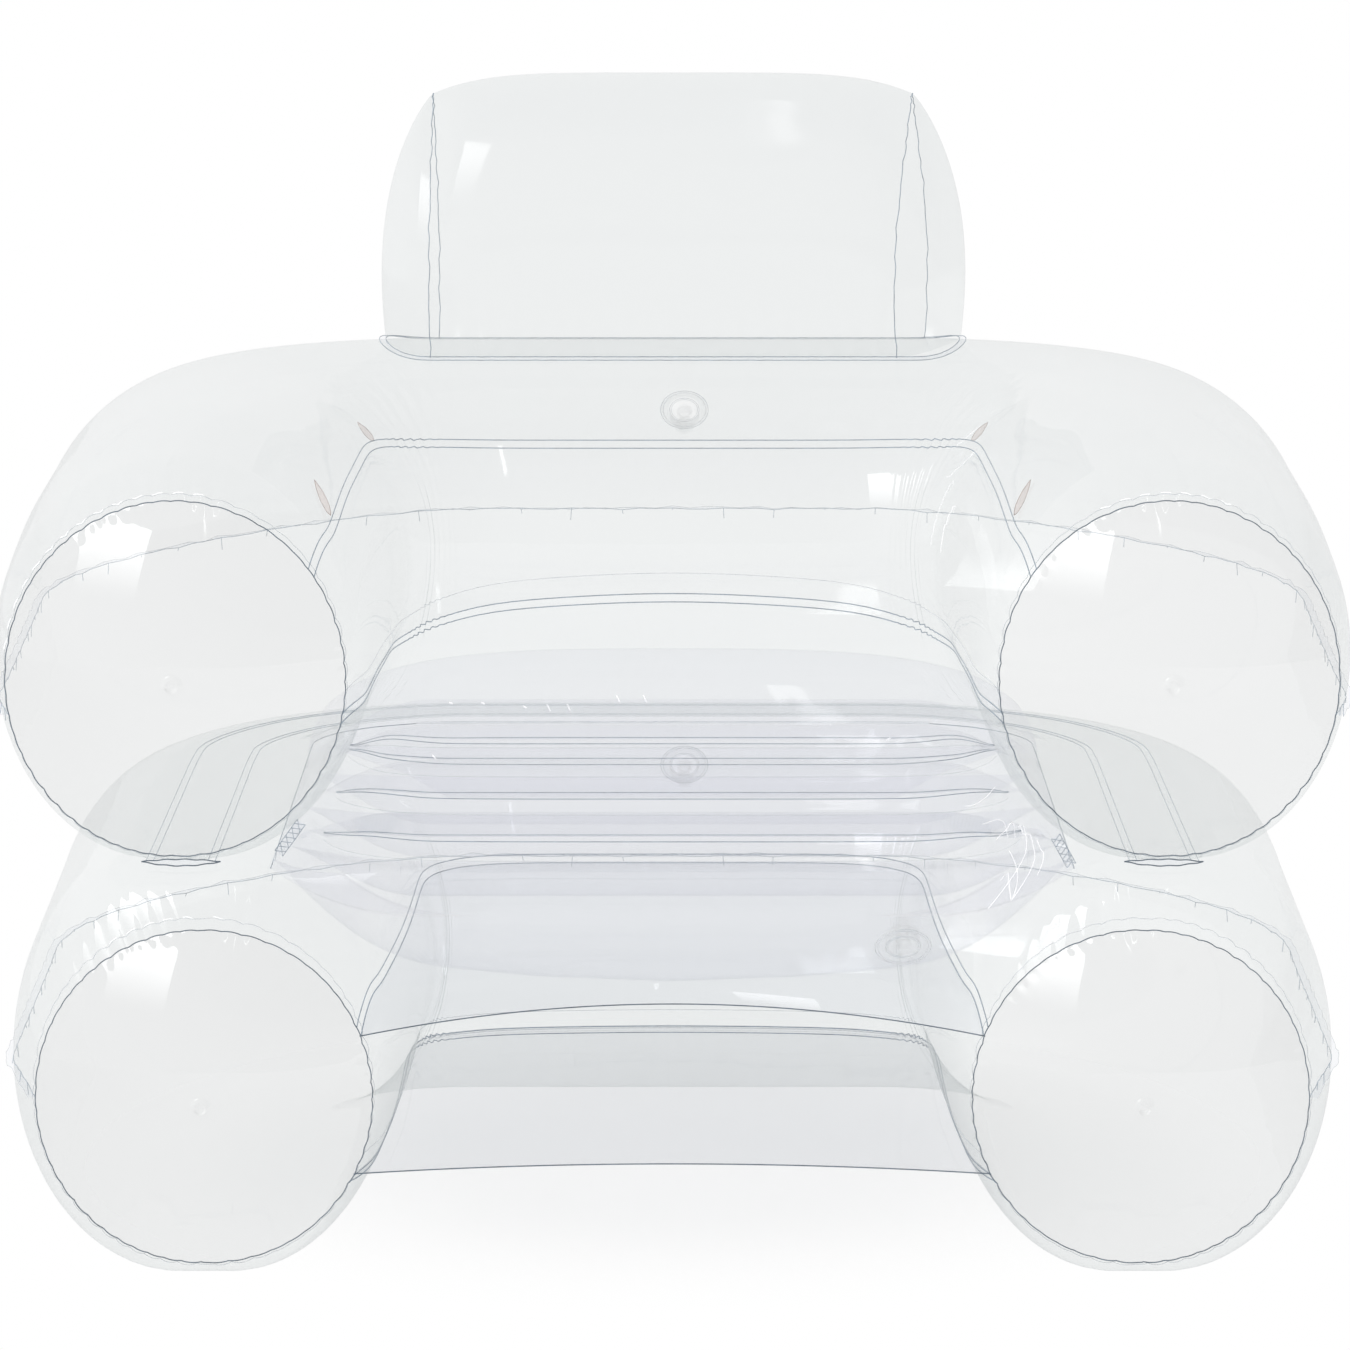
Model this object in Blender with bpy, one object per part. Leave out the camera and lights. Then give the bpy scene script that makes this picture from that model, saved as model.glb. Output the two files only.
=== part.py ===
"""Inflatable armchair welded from clear film, built panel by panel. Metres, +Z up, front faces -Y."""
import bpy
import math
import numpy as np
from mathutils.bvhtree import BVHTree

# Film and welds
FILM = 0.0004
GAP = 0.0003
LAP = 0.008
FIN = 0.007
LAYER = FILM + GAP

# Lower tube (base) and upper tube (arms and back), both U shaped in plan
WELD_Z = 0.345
TUBE_TOP = 0.691
LINE_X = 0.398
BACK_Y = 0.722
CORNER_R = 0.205
WELD_HALF = 0.028
FLOOR_HALF = 0.034
FLOOR_SHIFT = -0.014
END_FLAT = 0.002
END_BLEND = 0.11
END_QUICK = 0.055
BACK_HALF = 0.171

# Front end discs
DISC_HALF = 0.1368
BASE_DISC_HIGH = 0.1384
ARM_DISC_HIGH = 0.1447
BASE_DISC_X = 0.3795
ARM_DISC_X = 0.3985
BASE_DISC_Z = 0.155
ARM_DISC_Z = 0.4985
DISC_DOME = 0.040

# Seat cushion
SEAT_MID = 0.349
SEAT_EDGE_X = 0.322
SEAT_FULL_X = 0.210
SEAT_REAR_Y = BACK_Y - 0.097
SEAT_FLANGE = 0.007
SEAT_TUCK = 0.0035
SEAT_FREE_Y = 0.060
SEAT_TUCK_Y = 0.110
SEAT_CORNER_TURNS = (54.0, 60.0)
RIB_YS = (0.052, 0.215, 0.366, 0.499)
RIB_LOWS = (0.0143, 0.0080, 0.0040, 0.0030)
RIB_LEAN = 0.020
RIB_WELD = 0.006
RIB_REACH = 0.286
SEAT_VALLEY = 0.010
SEAT_CREST = 0.054
SEAT_BELLY = 0.058
NOSE_Y = 0.020
NOSE_Z = SEAT_MID - 0.031
NOSE_R = 0.067
NOSE_PULL = 0.025
NOSE_PULL_Y = 0.080
REAR_THIN_Y = 0.50
REAR_THIN = 0.42
REAR_LOW_THIN = 0.35
SIDE_RISE = 0.35
LOW_POWER = 1.25

# Sheets between the base arms
SHEET_INSET = 0.0015
SHEET_CLEAR = 0.0002
SHEET_BOW = 0.115
FLOOR_SHEET_BOW = 0.032

# Headrest
HEAD_HALF_X = 0.226
HEAD_TIP_Z = 0.917
HEAD_TOP_Z = 0.936
HEAD_BULGE = 0.050
HEAD_FLANGE = 0.008
HEAD_FRONT_ANGLE = 69.0
HEAD_REAR_ANGLE = 106.0
HEAD_BASE_HALF = 0.053
HEAD_SWELL = 0.014
HEAD_LIFT = 0.0006
HEAD_END_LIFT = 0.0012

# Valves
VALVE_FLANGE_R = 0.0225
VALVE_FLANGE_T = 0.0008
CUP_R = 0.0140
CUP_WALL = 0.0009
CUP_DEPTH = 0.012
STEM_R = 0.0070
STEM_WALL = 0.0016
STEM_LIP_R = 0.0095
STEM_LIP_T = 0.0012
STEM_TRAVEL = 0.010
PLUG_HEAD_T = 0.0016
PLUG_DEPTH = 0.010
TAB_LENGTH = 0.0048
TAB_WIDTH = 0.0085
FLAP_T = 0.0004
VALVE_FIT = 0.0003
ROUND = 20

VALVE_X = 0.011
VALVE_ANGLE = 147.5
SEAT_VALVE_X = 0.185

# The chair is built with its disc plane at Y = 0 and then moved so that the box centre is at Y = 0
FRONT_Y = -(DISC_DOME + 0.007)
REAR_Y = BACK_Y + BACK_HALF + FIN
SHIFT_Y = -(FRONT_Y + REAR_Y) / 2


def clear_scene():
    for item in list(bpy.data.objects):
        bpy.data.objects.remove(item, do_unlink=True)


def material(name, colour, roughness):
    item = bpy.data.materials.new(name)
    item.use_nodes = True
    shader = item.node_tree.nodes["Principled BSDF"]
    shader.inputs["Base Color"].default_value = (*colour, 1)
    shader.inputs["Roughness"].default_value = roughness
    return item


def add_object(name, verts, faces, colour=(0.86, 0.89, 0.92), roughness=0.08, origin=(0, 0, 0)):
    shift = np.array([0.0, SHIFT_Y, 0.0])
    place = np.array(origin, float) + shift
    points = [tuple(np.array(v, float) + shift - place) for v in verts]
    mesh = bpy.data.meshes.new(name)
    mesh.from_pydata(points, [], faces)
    mesh.update()
    item = bpy.data.objects.new(name, mesh)
    item.location = place
    bpy.context.scene.collection.objects.link(item)
    mesh.materials.append(material(name + "_film", colour, roughness))
    for polygon in mesh.polygons:
        polygon.use_smooth = True
    return item


def split_outward(verts, faces):
    """Triangles of the quads, cut along the diagonal that stands further out. Films that lie on each
    other are then cut alike, and so are the two skins of one film."""
    result = []
    for face in faces:
        if len(face) == 3:
            result.append(tuple(face))
            continue
        a, b, c, d = face
        p, q, r, s = (np.array(verts[i], float) for i in face)
        if (p + r - q - s) @ np.cross(r - p, s - q) >= 0:
            result += [(a, b, c), (a, c, d)]
        else:
            result += [(b, c, d), (b, d, a)]
    return result


def offset_vectors(verts, faces):
    """For each vertex the vector whose dot product with every face normal around it is one."""
    normals = [[] for _ in verts]
    for face in faces:
        ring = [verts[i] for i in face]
        normal = np.zeros(3)
        for k in range(len(ring)):
            normal += np.cross(ring[k], ring[(k + 1) % len(ring)])
        size = np.linalg.norm(normal)
        if size < 1e-12:
            continue
        for i in face:
            normals[i].append(normal / size)
    result = np.zeros((len(verts), 3))
    for i, around in enumerate(normals):
        rows = np.array(around)
        u, s, vt = np.linalg.svd(rows, full_matrices=False)
        keep = s > 0.30 * s[0]
        result[i] = vt[keep].T @ ((u[:, keep].T @ np.ones(len(rows))) / s[keep])
    return result


def thicken(verts, faces, thickness):
    """Closed film from an open surface. Faces look outward and the film grows inward."""
    verts = np.array(verts, float)
    faces = split_outward(verts, faces)
    vectors = offset_vectors(verts, faces)
    inner = verts - thickness * vectors
    count = len(verts)
    solid = [tuple(face) for face in faces]
    solid += [tuple(i + count for i in reversed(face)) for face in faces]
    edges = {}
    for face in faces:
        for k in range(len(face)):
            a, b = face[k], face[(k + 1) % len(face)]
            edges[(a, b)] = True
    for a, b in edges:
        if (b, a) not in edges:
            solid.append((b, a, a + count, b + count))
    return np.vstack([verts, inner]), solid


def grid_faces(rows, columns, flip=False):
    faces = []
    for i in range(rows - 1):
        for j in range(columns - 1):
            quad = (i * columns + j, i * columns + j + 1, (i + 1) * columns + j + 1, (i + 1) * columns + j)
            faces.append(tuple(reversed(quad)) if flip else quad)
    return faces


def ramp(value, points):
    """Piecewise linear lookup."""
    xs = [p[0] for p in points]
    ys = [p[1] for p in points]
    return float(np.interp(value, xs, ys))


# The U shaped tubes. A station is a vertical plane across the tube.

SIDE_YS = (0.0, LAP, 0.030, 0.070, 0.150, 0.300, 0.430)
CORNER_ANGLES = (0, 15, 30, 45, 60, 75, 90)
BACK_XS = (0.100,)

# Along the tube: 0 at the disc, 1 where the corner starts, 1.5 mid corner, 2 at the straight back
ARM_SPECS = {
    "inner_half": ((0, 0.150), (1, 0.163), (1.5, 0.172), (2, BACK_HALF)),
    "outer_half": ((0, 0.152), (1, 0.167), (1.5, 0.180), (2, BACK_HALF)),
    "top_seam": ((0, 35.0), (1, 36.0), (1.5, 33.0), (2, 31.4)),
    "low_seam": ((0, -10.6), (0.5, -17.0), (1, -25.0), (1.5, -23.5), (1.75, -20.5), (2, -17.3)),
    "out_seam": ((0, 191.0), (0.3, 195.0), (1, 193.0), (1.5, 190.5), (2, 182.5)),
}
BASE_SPECS = {
    "inner_half": ((0, 0.166), (0.5, 0.182), (1, 0.186), (1.5, 0.179), (2, BACK_HALF)),
    "outer_half": ((0, 0.143), (1, 0.156), (1.5, 0.173), (2, BACK_HALF)),
    "top_seam": ((0, 21.6), (1, 20.0), (1.5, 18.6), (2, 20.8)),
    "low_seam": ((0, -27.5), (1, -33.0), (1.5, -35.8), (2, -33.6)),
    "out_seam": ((0, 180.0), (1, 184.0), (1.5, 185.0), (2, 180.0)),
}
WELD_SHIFT = ((0, 0.0), (1, 0.0), (1.25, -0.010), (1.75, -0.010), (2, 0.0))


def end_blend(y, length=END_BLEND):
    """0 at the disc ring, 1 in the body of the tube."""
    u = min(max(y / length, 0.0), 1.0)
    return 1.0 - (1.0 - u) ** 3


def station_frames(kind):
    """Left half from the disc to the back: plan point, outward normal and along value."""
    disc_x = ARM_DISC_X if kind == "arm" else BASE_DISC_X
    start_y = BACK_Y - CORNER_R
    frames = []
    for y in SIDE_YS:
        w = end_blend(y)
        x = disc_x + (LINE_X - disc_x) * w
        frames.append(((-x, y), (-1.0, 0.0), y / start_y, (w, end_blend(y, END_QUICK))))
    for angle in CORNER_ANGLES:
        a = math.radians(angle)
        normal = (-math.cos(a), math.sin(a))
        centre = (-(LINE_X - CORNER_R), start_y)
        point = (centre[0] + CORNER_R * normal[0], centre[1] + CORNER_R * normal[1])
        frames.append((point, normal, 1.0 + angle / 90.0, (1.0, 1.0)))
    for x in BACK_XS:
        frames.append(((-x, BACK_Y), (0.0, 1.0), 2.0, (1.0, 1.0)))
    return frames


def section(kind, along, blends=(1.0, 1.0)):
    """Sizes and seam angles of the tube section at one station."""
    w, quick = blends
    specs = ARM_SPECS if kind == "arm" else BASE_SPECS
    low = WELD_Z + GAP / 2 if kind == "arm" else 0.0
    high = TUBE_TOP if kind == "arm" else WELD_Z - GAP / 2
    disc_z = ARM_DISC_Z if kind == "arm" else BASE_DISC_Z
    disc_high = ARM_DISC_HIGH if kind == "arm" else BASE_DISC_HIGH
    full_in = ramp(along, specs["inner_half"])
    full_out = ramp(along, specs["outer_half"])
    ring_low, ring_high = disc_z - disc_high, disc_z + disc_high
    low = ring_low + (low - ring_low) * quick
    high = ring_high + (high - ring_high) * (w if kind == "arm" else quick)
    top_flat = 0.0 if kind == "arm" else END_FLAT + (WELD_HALF - END_FLAT) * w
    low_flat = END_FLAT + ((WELD_HALF if kind == "arm" else FLOOR_HALF) - END_FLAT) * w
    return {
        "in": DISC_HALF + (full_in - DISC_HALF) * w,
        "out": DISC_HALF + (full_out - DISC_HALF) * w,
        "zc": (low + high) / 2, "half": (high - low) / 2, "top_flat": top_flat, "low_flat": low_flat,
        "top_shift": 0.0 if kind == "arm" else ramp(along, WELD_SHIFT),
        "low_shift": ramp(along, WELD_SHIFT) if kind == "arm" else FLOOR_SHIFT * w,
        "top_seam": ramp(along, specs["top_seam"]),
        "low_seam": ramp(along, specs["low_seam"]),
        "out_seam": ramp(along, specs["out_seam"]),
    }


def section_point(sec, angle, side=0):
    """Offset from the centre line (outward positive) and height at an angle. 0 looks inward, 90 is up."""
    a = math.radians(angle)
    c, s = math.cos(a), math.sin(a)
    flat = sec["top_flat"] if s >= 0 else sec["low_flat"]
    shift = sec["top_shift"] if s >= 0 else sec["low_shift"]
    if side:
        n = side * flat + shift
    elif c >= 0:
        n = -(flat - shift + (sec["in"] - flat + shift) * c)
    else:
        n = flat + shift - (sec["out"] - flat - shift) * c
    return n, sec["zc"] + sec["half"] * s


VALVE_LOW = VALVE_ANGLE - 8.5
VALVE_HIGH = VALVE_ANGLE + 8.5
VALVE_ROW = -4
LAP_TURN = math.degrees(LAP / (WELD_Z / 2))
HEAD_TURN = math.degrees(HEAD_FLANGE / ((TUBE_TOP - WELD_Z) / 2))


def rows_of(kind, sec):
    """Named rows round the section as (n, z) points, in three groups that share their edge rows."""
    top, low, out = sec["top_seam"], sec["low_seam"], sec["out_seam"]
    lap = math.degrees(LAP / sec["half"])
    lift = FILM + GAP / 2
    back_low = ramp(2, (ARM_SPECS if kind == "arm" else BASE_SPECS)["top_seam"]) + LAP_TURN
    scale_in = (90 - top - lap) / (90 - back_low)
    scale_out = (out - 90) / 90
    if kind == "arm":
        inward = (50.0, HEAD_FRONT_ANGLE - HEAD_TURN, HEAD_FRONT_ANGLE, 79.0)
        outward = (93.0, HEAD_REAR_ANGLE, HEAD_REAR_ANGLE + HEAD_TURN, 123.0, VALVE_LOW, VALVE_HIGH, 169.0)
    else:
        inward = (44.0, 67.0)
        outward = (102.0, 120.0, VALVE_LOW, VALVE_HIGH, 169.0)
    seam_n, seam_z = section_point(sec, out)
    upper = [section_point(sec, top), section_point(sec, top + lap)]
    upper += [section_point(sec, 90 - (90 - v) * scale_in) for v in inward]
    if kind == "base":
        upper += [section_point(sec, 90, -1), section_point(sec, 90, 1)]
    upper += [section_point(sec, 90 + (v - 90) * scale_out) for v in outward]
    upper += [(seam_n, seam_z + lift)]
    under = [(seam_n, seam_z - lift)]
    under += [section_point(sec, 270 - (270 - out) * f) for f in (0.86, 0.70, 0.50, 0.28, 0.12)]
    under += [section_point(sec, 270, 1), section_point(sec, 270, -1)]
    under += [section_point(sec, 270 + (90 + low - lap) * f) for f in (0.30, 0.66)]
    under += [section_point(sec, 360 + low - lap), section_point(sec, 360 + low)]
    wall = [section_point(sec, low + (top - low) * f) for f in (0.33, 0.67)]
    return upper, under, wall


def tube_grid(kind):
    """All stations of one tube, both halves, as 3-D rows. Returns stations x rows and the row groups."""
    left = []
    outward = []
    for point, normal, along, w in station_frames(kind):
        sec = section(kind, along, w)
        upper, under, wall = rows_of(kind, sec)
        ring = upper + under + wall
        left.append([(point[0] + n * normal[0], point[1] + n * normal[1], z) for n, z in ring])
        outward.append(normal)
    right = [[(-x, y, z) for x, y, z in ring] for ring in reversed(left)]
    outward += [(-n[0], n[1]) for n in reversed(outward)]
    sizes = (len(upper), len(under), len(wall))
    return np.array(left + right), np.array(outward), sizes


def tube_offsets(grid):
    """Offset vectors of the whole closed tube surface."""
    stations, rows, _ = grid.shape
    verts = grid.reshape(-1, 3)
    faces = []
    for i in range(stations - 1):
        for j in range(rows):
            k = (j + 1) % rows
            faces.append((i * rows + j, (i + 1) * rows + j, (i + 1) * rows + k, i * rows + k))
    return offset_vectors(verts, split_outward(verts, faces)).reshape(stations, rows, 3)


def sheet_faces(stations, rows):
    """Quads of a stations x rows sheet."""
    faces = []
    for i in range(stations - 1):
        for j in range(rows - 1):
            faces.append((i * rows + j, (i + 1) * rows + j, (i + 1) * rows + j + 1, i * rows + j + 1))
    return faces


def panel_from_rows(points):
    """Film from stations x rows of points whose faces look outward."""
    stations, rows, _ = points.shape
    return thicken(points.reshape(-1, 3), sheet_faces(stations, rows), FILM)


def with_fin(points, outward, at_end):
    """Adds the outward weld flange row along the outer seam."""
    edge = points[:, -1] if at_end else points[:, 0]
    tip = edge.copy()
    tip[:, 0] += outward[:, 0] * FIN
    tip[:, 1] += outward[:, 1] * FIN
    tip = tip[:, None, :]
    return np.concatenate([points, tip], axis=1) if at_end else np.concatenate([tip, points], axis=1)


def disc_film(grid, vectors, sizes, front):
    """Domed end disc with a skirt that is welded inside the end of the tube."""
    upper, under, wall = sizes
    keep = [j for j in range(upper + under + wall) if j != upper]
    first, second = (0, 1) if front == "left" else (-1, -2)
    rim = (grid[first] - 2 * LAYER * vectors[first])[keep]
    skirt = (grid[second] - 2 * LAYER * vectors[second])[keep]
    centre = np.array([(rim[:, 0].max() + rim[:, 0].min()) / 2, 0.0, (rim[:, 2].max() + rim[:, 2].min()) / 2])
    rings = [skirt, rim]
    for share in (0.90, 0.62, 0.30):
        ring = centre + (rim - centre) * share
        ring[:, 1] = -DISC_DOME * (1 - share ** 2.1)
        rings.append(ring)
    count = len(keep)
    verts = np.vstack(rings + [np.array([[centre[0], -DISC_DOME, centre[2]]])])
    faces = []
    flip = front == "right"
    for r in range(len(rings) - 1):
        for j in range(count):
            k = (j + 1) % count
            quad = (r * count + j, r * count + k, (r + 1) * count + k, (r + 1) * count + j)
            faces.append(tuple(reversed(quad)) if flip else quad)
    last = (len(rings) - 1) * count
    tip = len(verts) - 1
    for j in range(count):
        k = (j + 1) % count
        fan = (last + j, last + k, tip)
        faces.append(tuple(reversed(fan)) if flip else fan)
    return thicken(verts, faces, FILM)


def build_tube(kind):
    grid, outward, sizes = tube_grid(kind)
    upper, under, wall = sizes
    vectors = tube_offsets(grid)
    top_points = with_fin(grid[:, :upper], outward, True)
    low_points = with_fin(grid[:, upper:upper + under], outward, False)
    order = [upper + under - 2, upper + under - 1] + list(range(upper + under, upper + under + wall)) + [0, 1]
    wall_points = grid[:, order] - LAYER * vectors[:, order]
    top = add_object(kind + "_top_panel", *panel_from_rows(top_points))
    add_object(kind + "_bottom_panel", *panel_from_rows(low_points))
    add_object(kind + "_inner_wall", *panel_from_rows(wall_points))
    for front in ("left", "right"):
        add_object(kind + "_end_disc_" + front, *disc_film(grid, vectors, sizes, front))
    return top


# Sheets stretched between the two base arms, welded to the inner wall by a turned up edge

def sheet_lines(seam):
    """Edge and tip of the turned edge on the left half, lying on the facets of the base inner wall."""
    grid, _, sizes = tube_grid("base")
    vectors = tube_offsets(grid)
    upper, under, wall = sizes
    rows = (0, upper + under + wall - 1) if seam == "top" else (upper + under - 1, upper + under)
    half = len(grid) // 2
    place = [grid[:half, j] + SHEET_CLEAR * vectors[:half, j] for j in rows]
    run = place[1] - place[0]
    run /= np.linalg.norm(run, axis=1)[:, None]
    near = place[0] + run * SHEET_INSET
    far = place[0] + run * (SHEET_INSET + LAP)
    return (far, near) if seam == "top" else (near, far)


def build_sheet(name, seam, bow):
    """Sheet with its turned edge. Rows run across, the last row lies along the back wall."""
    edge, tip = sheet_lines(seam)
    bend = len(SIDE_YS) + 3
    side, side_tip = edge[:bend + 1], tip[:bend + 1]
    back, back_tip = edge[bend:], tip[bend:]
    mirror = np.array([-1, 1, 1])
    full = np.vstack([back, (back * mirror)[::-1]])
    columns = len(full)
    shares = (full[:, 0] - full[0, 0]) / (full[-1, 0] - full[0, 0])
    rows = []
    last = len(side) - 1.0
    for i, left in enumerate(side):
        slack = bow * max(0.0, 1 - i / last) ** 2
        row = []
        for share in shares:
            lag = slack * (1 - (2 * share - 1) ** 2)
            row.append((left[0] * (1 - 2 * share), left[1] + lag, left[2]))
        rows.append(row)
    rows[-1] = [tuple(p) for p in full]
    verts = [p for row in rows for p in row]
    faces = grid_faces(len(rows), columns)
    start = len(verts)
    tips = list(side_tip) + list(back_tip[1:]) + list((back_tip[1:] * mirror)[::-1])
    tips += list((side_tip * mirror)[::-1])
    edges = [i * columns for i in range(len(side))]
    edges += [(len(rows) - 1) * columns + k for k in range(1, columns - 1)]
    edges += [i * columns + columns - 1 for i in reversed(range(len(side)))]
    verts += [tuple(p) for p in tips]
    for k in range(len(edges) - 1):
        faces.append((edges[k], edges[k + 1], start + k + 1, start + k))
    return add_object(name, *thicken(verts, faces, FILM))


# Seat cushion: one film wrapped round the front, closed by side and rear flanges, with four ribs inside

def seat_profile():
    """Loop in the YZ plane from the rear seam over the top, round the nose and back underneath."""
    lift = FILM + GAP / 2
    half_weld = RIB_WELD / 2
    points = [(SEAT_REAR_Y + SEAT_FLANGE, SEAT_MID + lift), (SEAT_REAR_Y, SEAT_MID + lift)]
    marks = {}
    stops = list(RIB_YS) + [SEAT_REAR_Y]
    for k in range(len(RIB_YS) - 1, -1, -1):
        near = stops[k] + half_weld
        far = stops[k + 1] - (half_weld if k + 1 < len(RIB_YS) else 0.0)
        for share in (0.82, 0.50, 0.18):
            rise = math.sin(math.pi * share) ** 0.75
            base = SEAT_VALLEY if k + 1 < len(RIB_YS) or share < 0.5 else lift
            points.append((near + (far - near) * share, SEAT_MID + base + (SEAT_CREST - base) * rise))
        marks["top%d" % k] = len(points)
        valley = SEAT_MID + SEAT_VALLEY
        points += [(stops[k] + half_weld, valley), (stops[k] - half_weld, valley)]
    marks["nose"] = len(points)
    for angle in (100, 78, 48, 16, -18, -62, -92, -122):
        a = math.radians(angle)
        points.append((NOSE_Y - NOSE_R * math.cos(a), NOSE_Z + NOSE_R * math.sin(a)))
    for k in range(len(RIB_YS)):
        last = k + 1 == len(RIB_YS)
        marks["low%d" % k] = len(points)
        near = stops[k] + RIB_LEAN + half_weld
        far = stops[k + 1] if last else stops[k + 1] + RIB_LEAN - half_weld
        points += [(near - RIB_WELD, SEAT_MID - RIB_LOWS[k]), (near, SEAT_MID - RIB_LOWS[k])]
        for share in (0.28, 0.72):
            rise = math.sin(math.pi * share) ** 0.50
            base = RIB_LOWS[k] + ((lift if last else RIB_LOWS[k + 1]) - RIB_LOWS[k]) * share
            points.append((near + (far - near) * share, SEAT_MID - base - (SEAT_BELLY - base) * rise))
    points += [(SEAT_REAR_Y, SEAT_MID - lift), (SEAT_REAR_Y + SEAT_FLANGE, SEAT_MID - lift)]
    return points, marks


SEAT_XS = (0.110, 0.158, 0.212, 0.250, 0.285, SEAT_EDGE_X)
NOSE_SHARES = ((0.110, 1.02), (0.158, 0.925), (0.212, 0.905), (0.250, 0.72), (0.285, 0.45), (SEAT_EDGE_X, 0.0))
CORNER_REACH = 0.114


def seat_share(x, y):
    """Thickness of the cushion at a place, as a share of the full thickness."""
    u = min(max((x - SEAT_FULL_X) / (SEAT_EDGE_X - SEAT_FULL_X), 0.0), 1.0)
    v = min(max((y - REAR_THIN_Y) / (SEAT_REAR_Y - REAR_THIN_Y), 0.0), 1.0)
    return (1 - u * u) * (1 - REAR_THIN * min(1.0, u / SIDE_RISE) * v)


def seat_edge(y):
    """Half width of the cushion at a depth. The rear corners follow the bend of the tubes."""
    bend_y = BACK_Y - CORNER_R
    bend_x = LINE_X - CORNER_R
    back = min(max(y - bend_y, 0.0) / CORNER_REACH, 0.96)
    return bend_x + (SEAT_EDGE_X - bend_x) * (1 - back * back) ** 0.5


def seat_lower_share(x, y):
    """The underside draws in sooner than the top, to clear the base tube."""
    u = min(max((x - SEAT_FULL_X) / (SEAT_EDGE_X - SEAT_FULL_X), 0.0), 1.0)
    v = min(max((y - REAR_THIN_Y) / (SEAT_REAR_Y - REAR_THIN_Y), 0.0), 1.0)
    return seat_share(x, y) ** LOW_POWER * (1 - REAR_LOW_THIN * v * min(1.0, u / SIDE_RISE))


def nose_height(x, z, rest):
    """The lower half of the nose rises as a whole towards the sides, so that its facets stay flat."""
    depth = SEAT_MID - (NOSE_Z - NOSE_R)
    return min(z + (1 - ramp(x, NOSE_SHARES)) * depth, SEAT_MID + rest)


def seat_tip(x, y, turn=None):
    """Tip of the edge flange in plan, straight out from an edge point and tucked between the two tubes."""
    bend_y = BACK_Y - CORNER_R
    bend_x = LINE_X - CORNER_R
    reach = CORNER_R - WELD_HALF - SEAT_TUCK
    if y <= bend_y:
        return ramp(y, ((SEAT_FREE_Y, SEAT_EDGE_X + SEAT_FLANGE), (SEAT_TUCK_Y, bend_x + reach))), y
    if x <= bend_x and turn is None:
        return x, bend_y + reach
    turn = math.degrees(math.atan2(y - bend_y, x - bend_x)) if turn is None else turn
    chord_loss = CORNER_R * (1 - math.cos(math.radians(CORNER_ANGLES[1] / 2)))
    reach += ramp(1 + turn / 90, WELD_SHIFT) - chord_loss
    return bend_x + reach * math.cos(math.radians(turn)), bend_y + reach * math.sin(math.radians(turn))


def tip_height(y, lift):
    return ramp(y, ((SEAT_FREE_Y, SEAT_MID), (SEAT_TUCK_Y, WELD_Z))) + lift


def seat_sections():
    """Right half of the cushion as profile loops at a list of X stations."""
    profile, marks = seat_profile()
    lift = FILM + GAP / 2
    fold = marks["nose"] + 4
    hold = SEAT_XS[0]
    sections = []
    for x in SEAT_XS:
        ring = []
        for j, (y, z) in enumerate(profile):
            share = seat_share(x, y) if j < fold else seat_lower_share(x, y)
            rest = lift if j < fold else -lift
            wide = hold + (x - hold) * (seat_edge(y) - hold) / (SEAT_EDGE_X - hold)
            pull = NOSE_PULL * (1 - seat_share(x, y)) * min(1.0, max(0.0, (RIB_YS[0] - y) / NOSE_PULL_Y))
            height = SEAT_MID + rest + (z - SEAT_MID - rest) * share
            if fold <= j < marks["low0"]:
                height = nose_height(x, z, rest)
            ring.append((wide, y + pull, height))
        for end, seam, rest in ((0, 1, lift), (-1, -2, -lift)):
            ring[end] = (*seat_tip(ring[seam][0], ring[seam][1]), tip_height(SEAT_REAR_Y, rest))
        sections.append(ring)
    edge = sections[-1]
    tips = []
    for j, (x, y, z) in enumerate(edge):
        turn = {1: SEAT_CORNER_TURNS[0], 0: SEAT_CORNER_TURNS[1]}.get(min(j, len(edge) - 1 - j))
        tips.append((*seat_tip(x, y, turn), tip_height(y, lift if j < fold else -lift)))
    return sections + [tips], marks


def build_seat():
    right, marks = seat_sections()
    loop = np.array([[(-x, y, z) for x, y, z in ring] for ring in reversed(right)] + right)
    stations, rows, _ = loop.shape
    faces = [tuple(reversed(face)) for face in sheet_faces(stations, rows)]
    item = add_object("seat_cushion_panel", *thicken(loop.reshape(-1, 3), faces, FILM))
    faces = split_outward(loop.reshape(-1, 3), faces)
    vectors = offset_vectors(loop.reshape(-1, 3), faces).reshape(stations, rows, 3)
    reach = [i for i in range(stations) if abs(loop[i, rows // 2, 0]) <= RIB_REACH]
    for k in range(len(RIB_YS)):
        top, low = marks["top%d" % k], marks["low%d" % k]
        strips = []
        for i in reach:
            a, b = [loop[i, j] - LAYER * vectors[i, j] for j in (top, top + 1)]
            c, d = [loop[i, j] - (LAYER + FILM) * vectors[i, j] for j in (low, low + 1)]
            strips.append([a + (b - a) * 0.96, a, c, c + (d - c) * 0.96])
        points = np.array(strips)
        rib_faces = sheet_faces(len(points), 4)
        add_object("seat_rib_%d" % (k + 1), *thicken(points.reshape(-1, 3), rib_faces, FILM))
    return item


# Headrest pillow on the crest of the back tube. The tube film closes its underside.

HEAD_XS = (0.080, 0.160, 0.203, HEAD_HALF_X)
HEAD_SHARES = (0.14, 0.32, 0.50, 0.68, 0.82, 0.92, 0.98)
SIDE_SHARES = (0.0, 0.15, 0.35, 0.55, 0.74, 0.90)
SIDE_TURNS = (-1.0, -0.80, -0.45, 0.0, 0.45, 0.80, 1.0)


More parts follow.
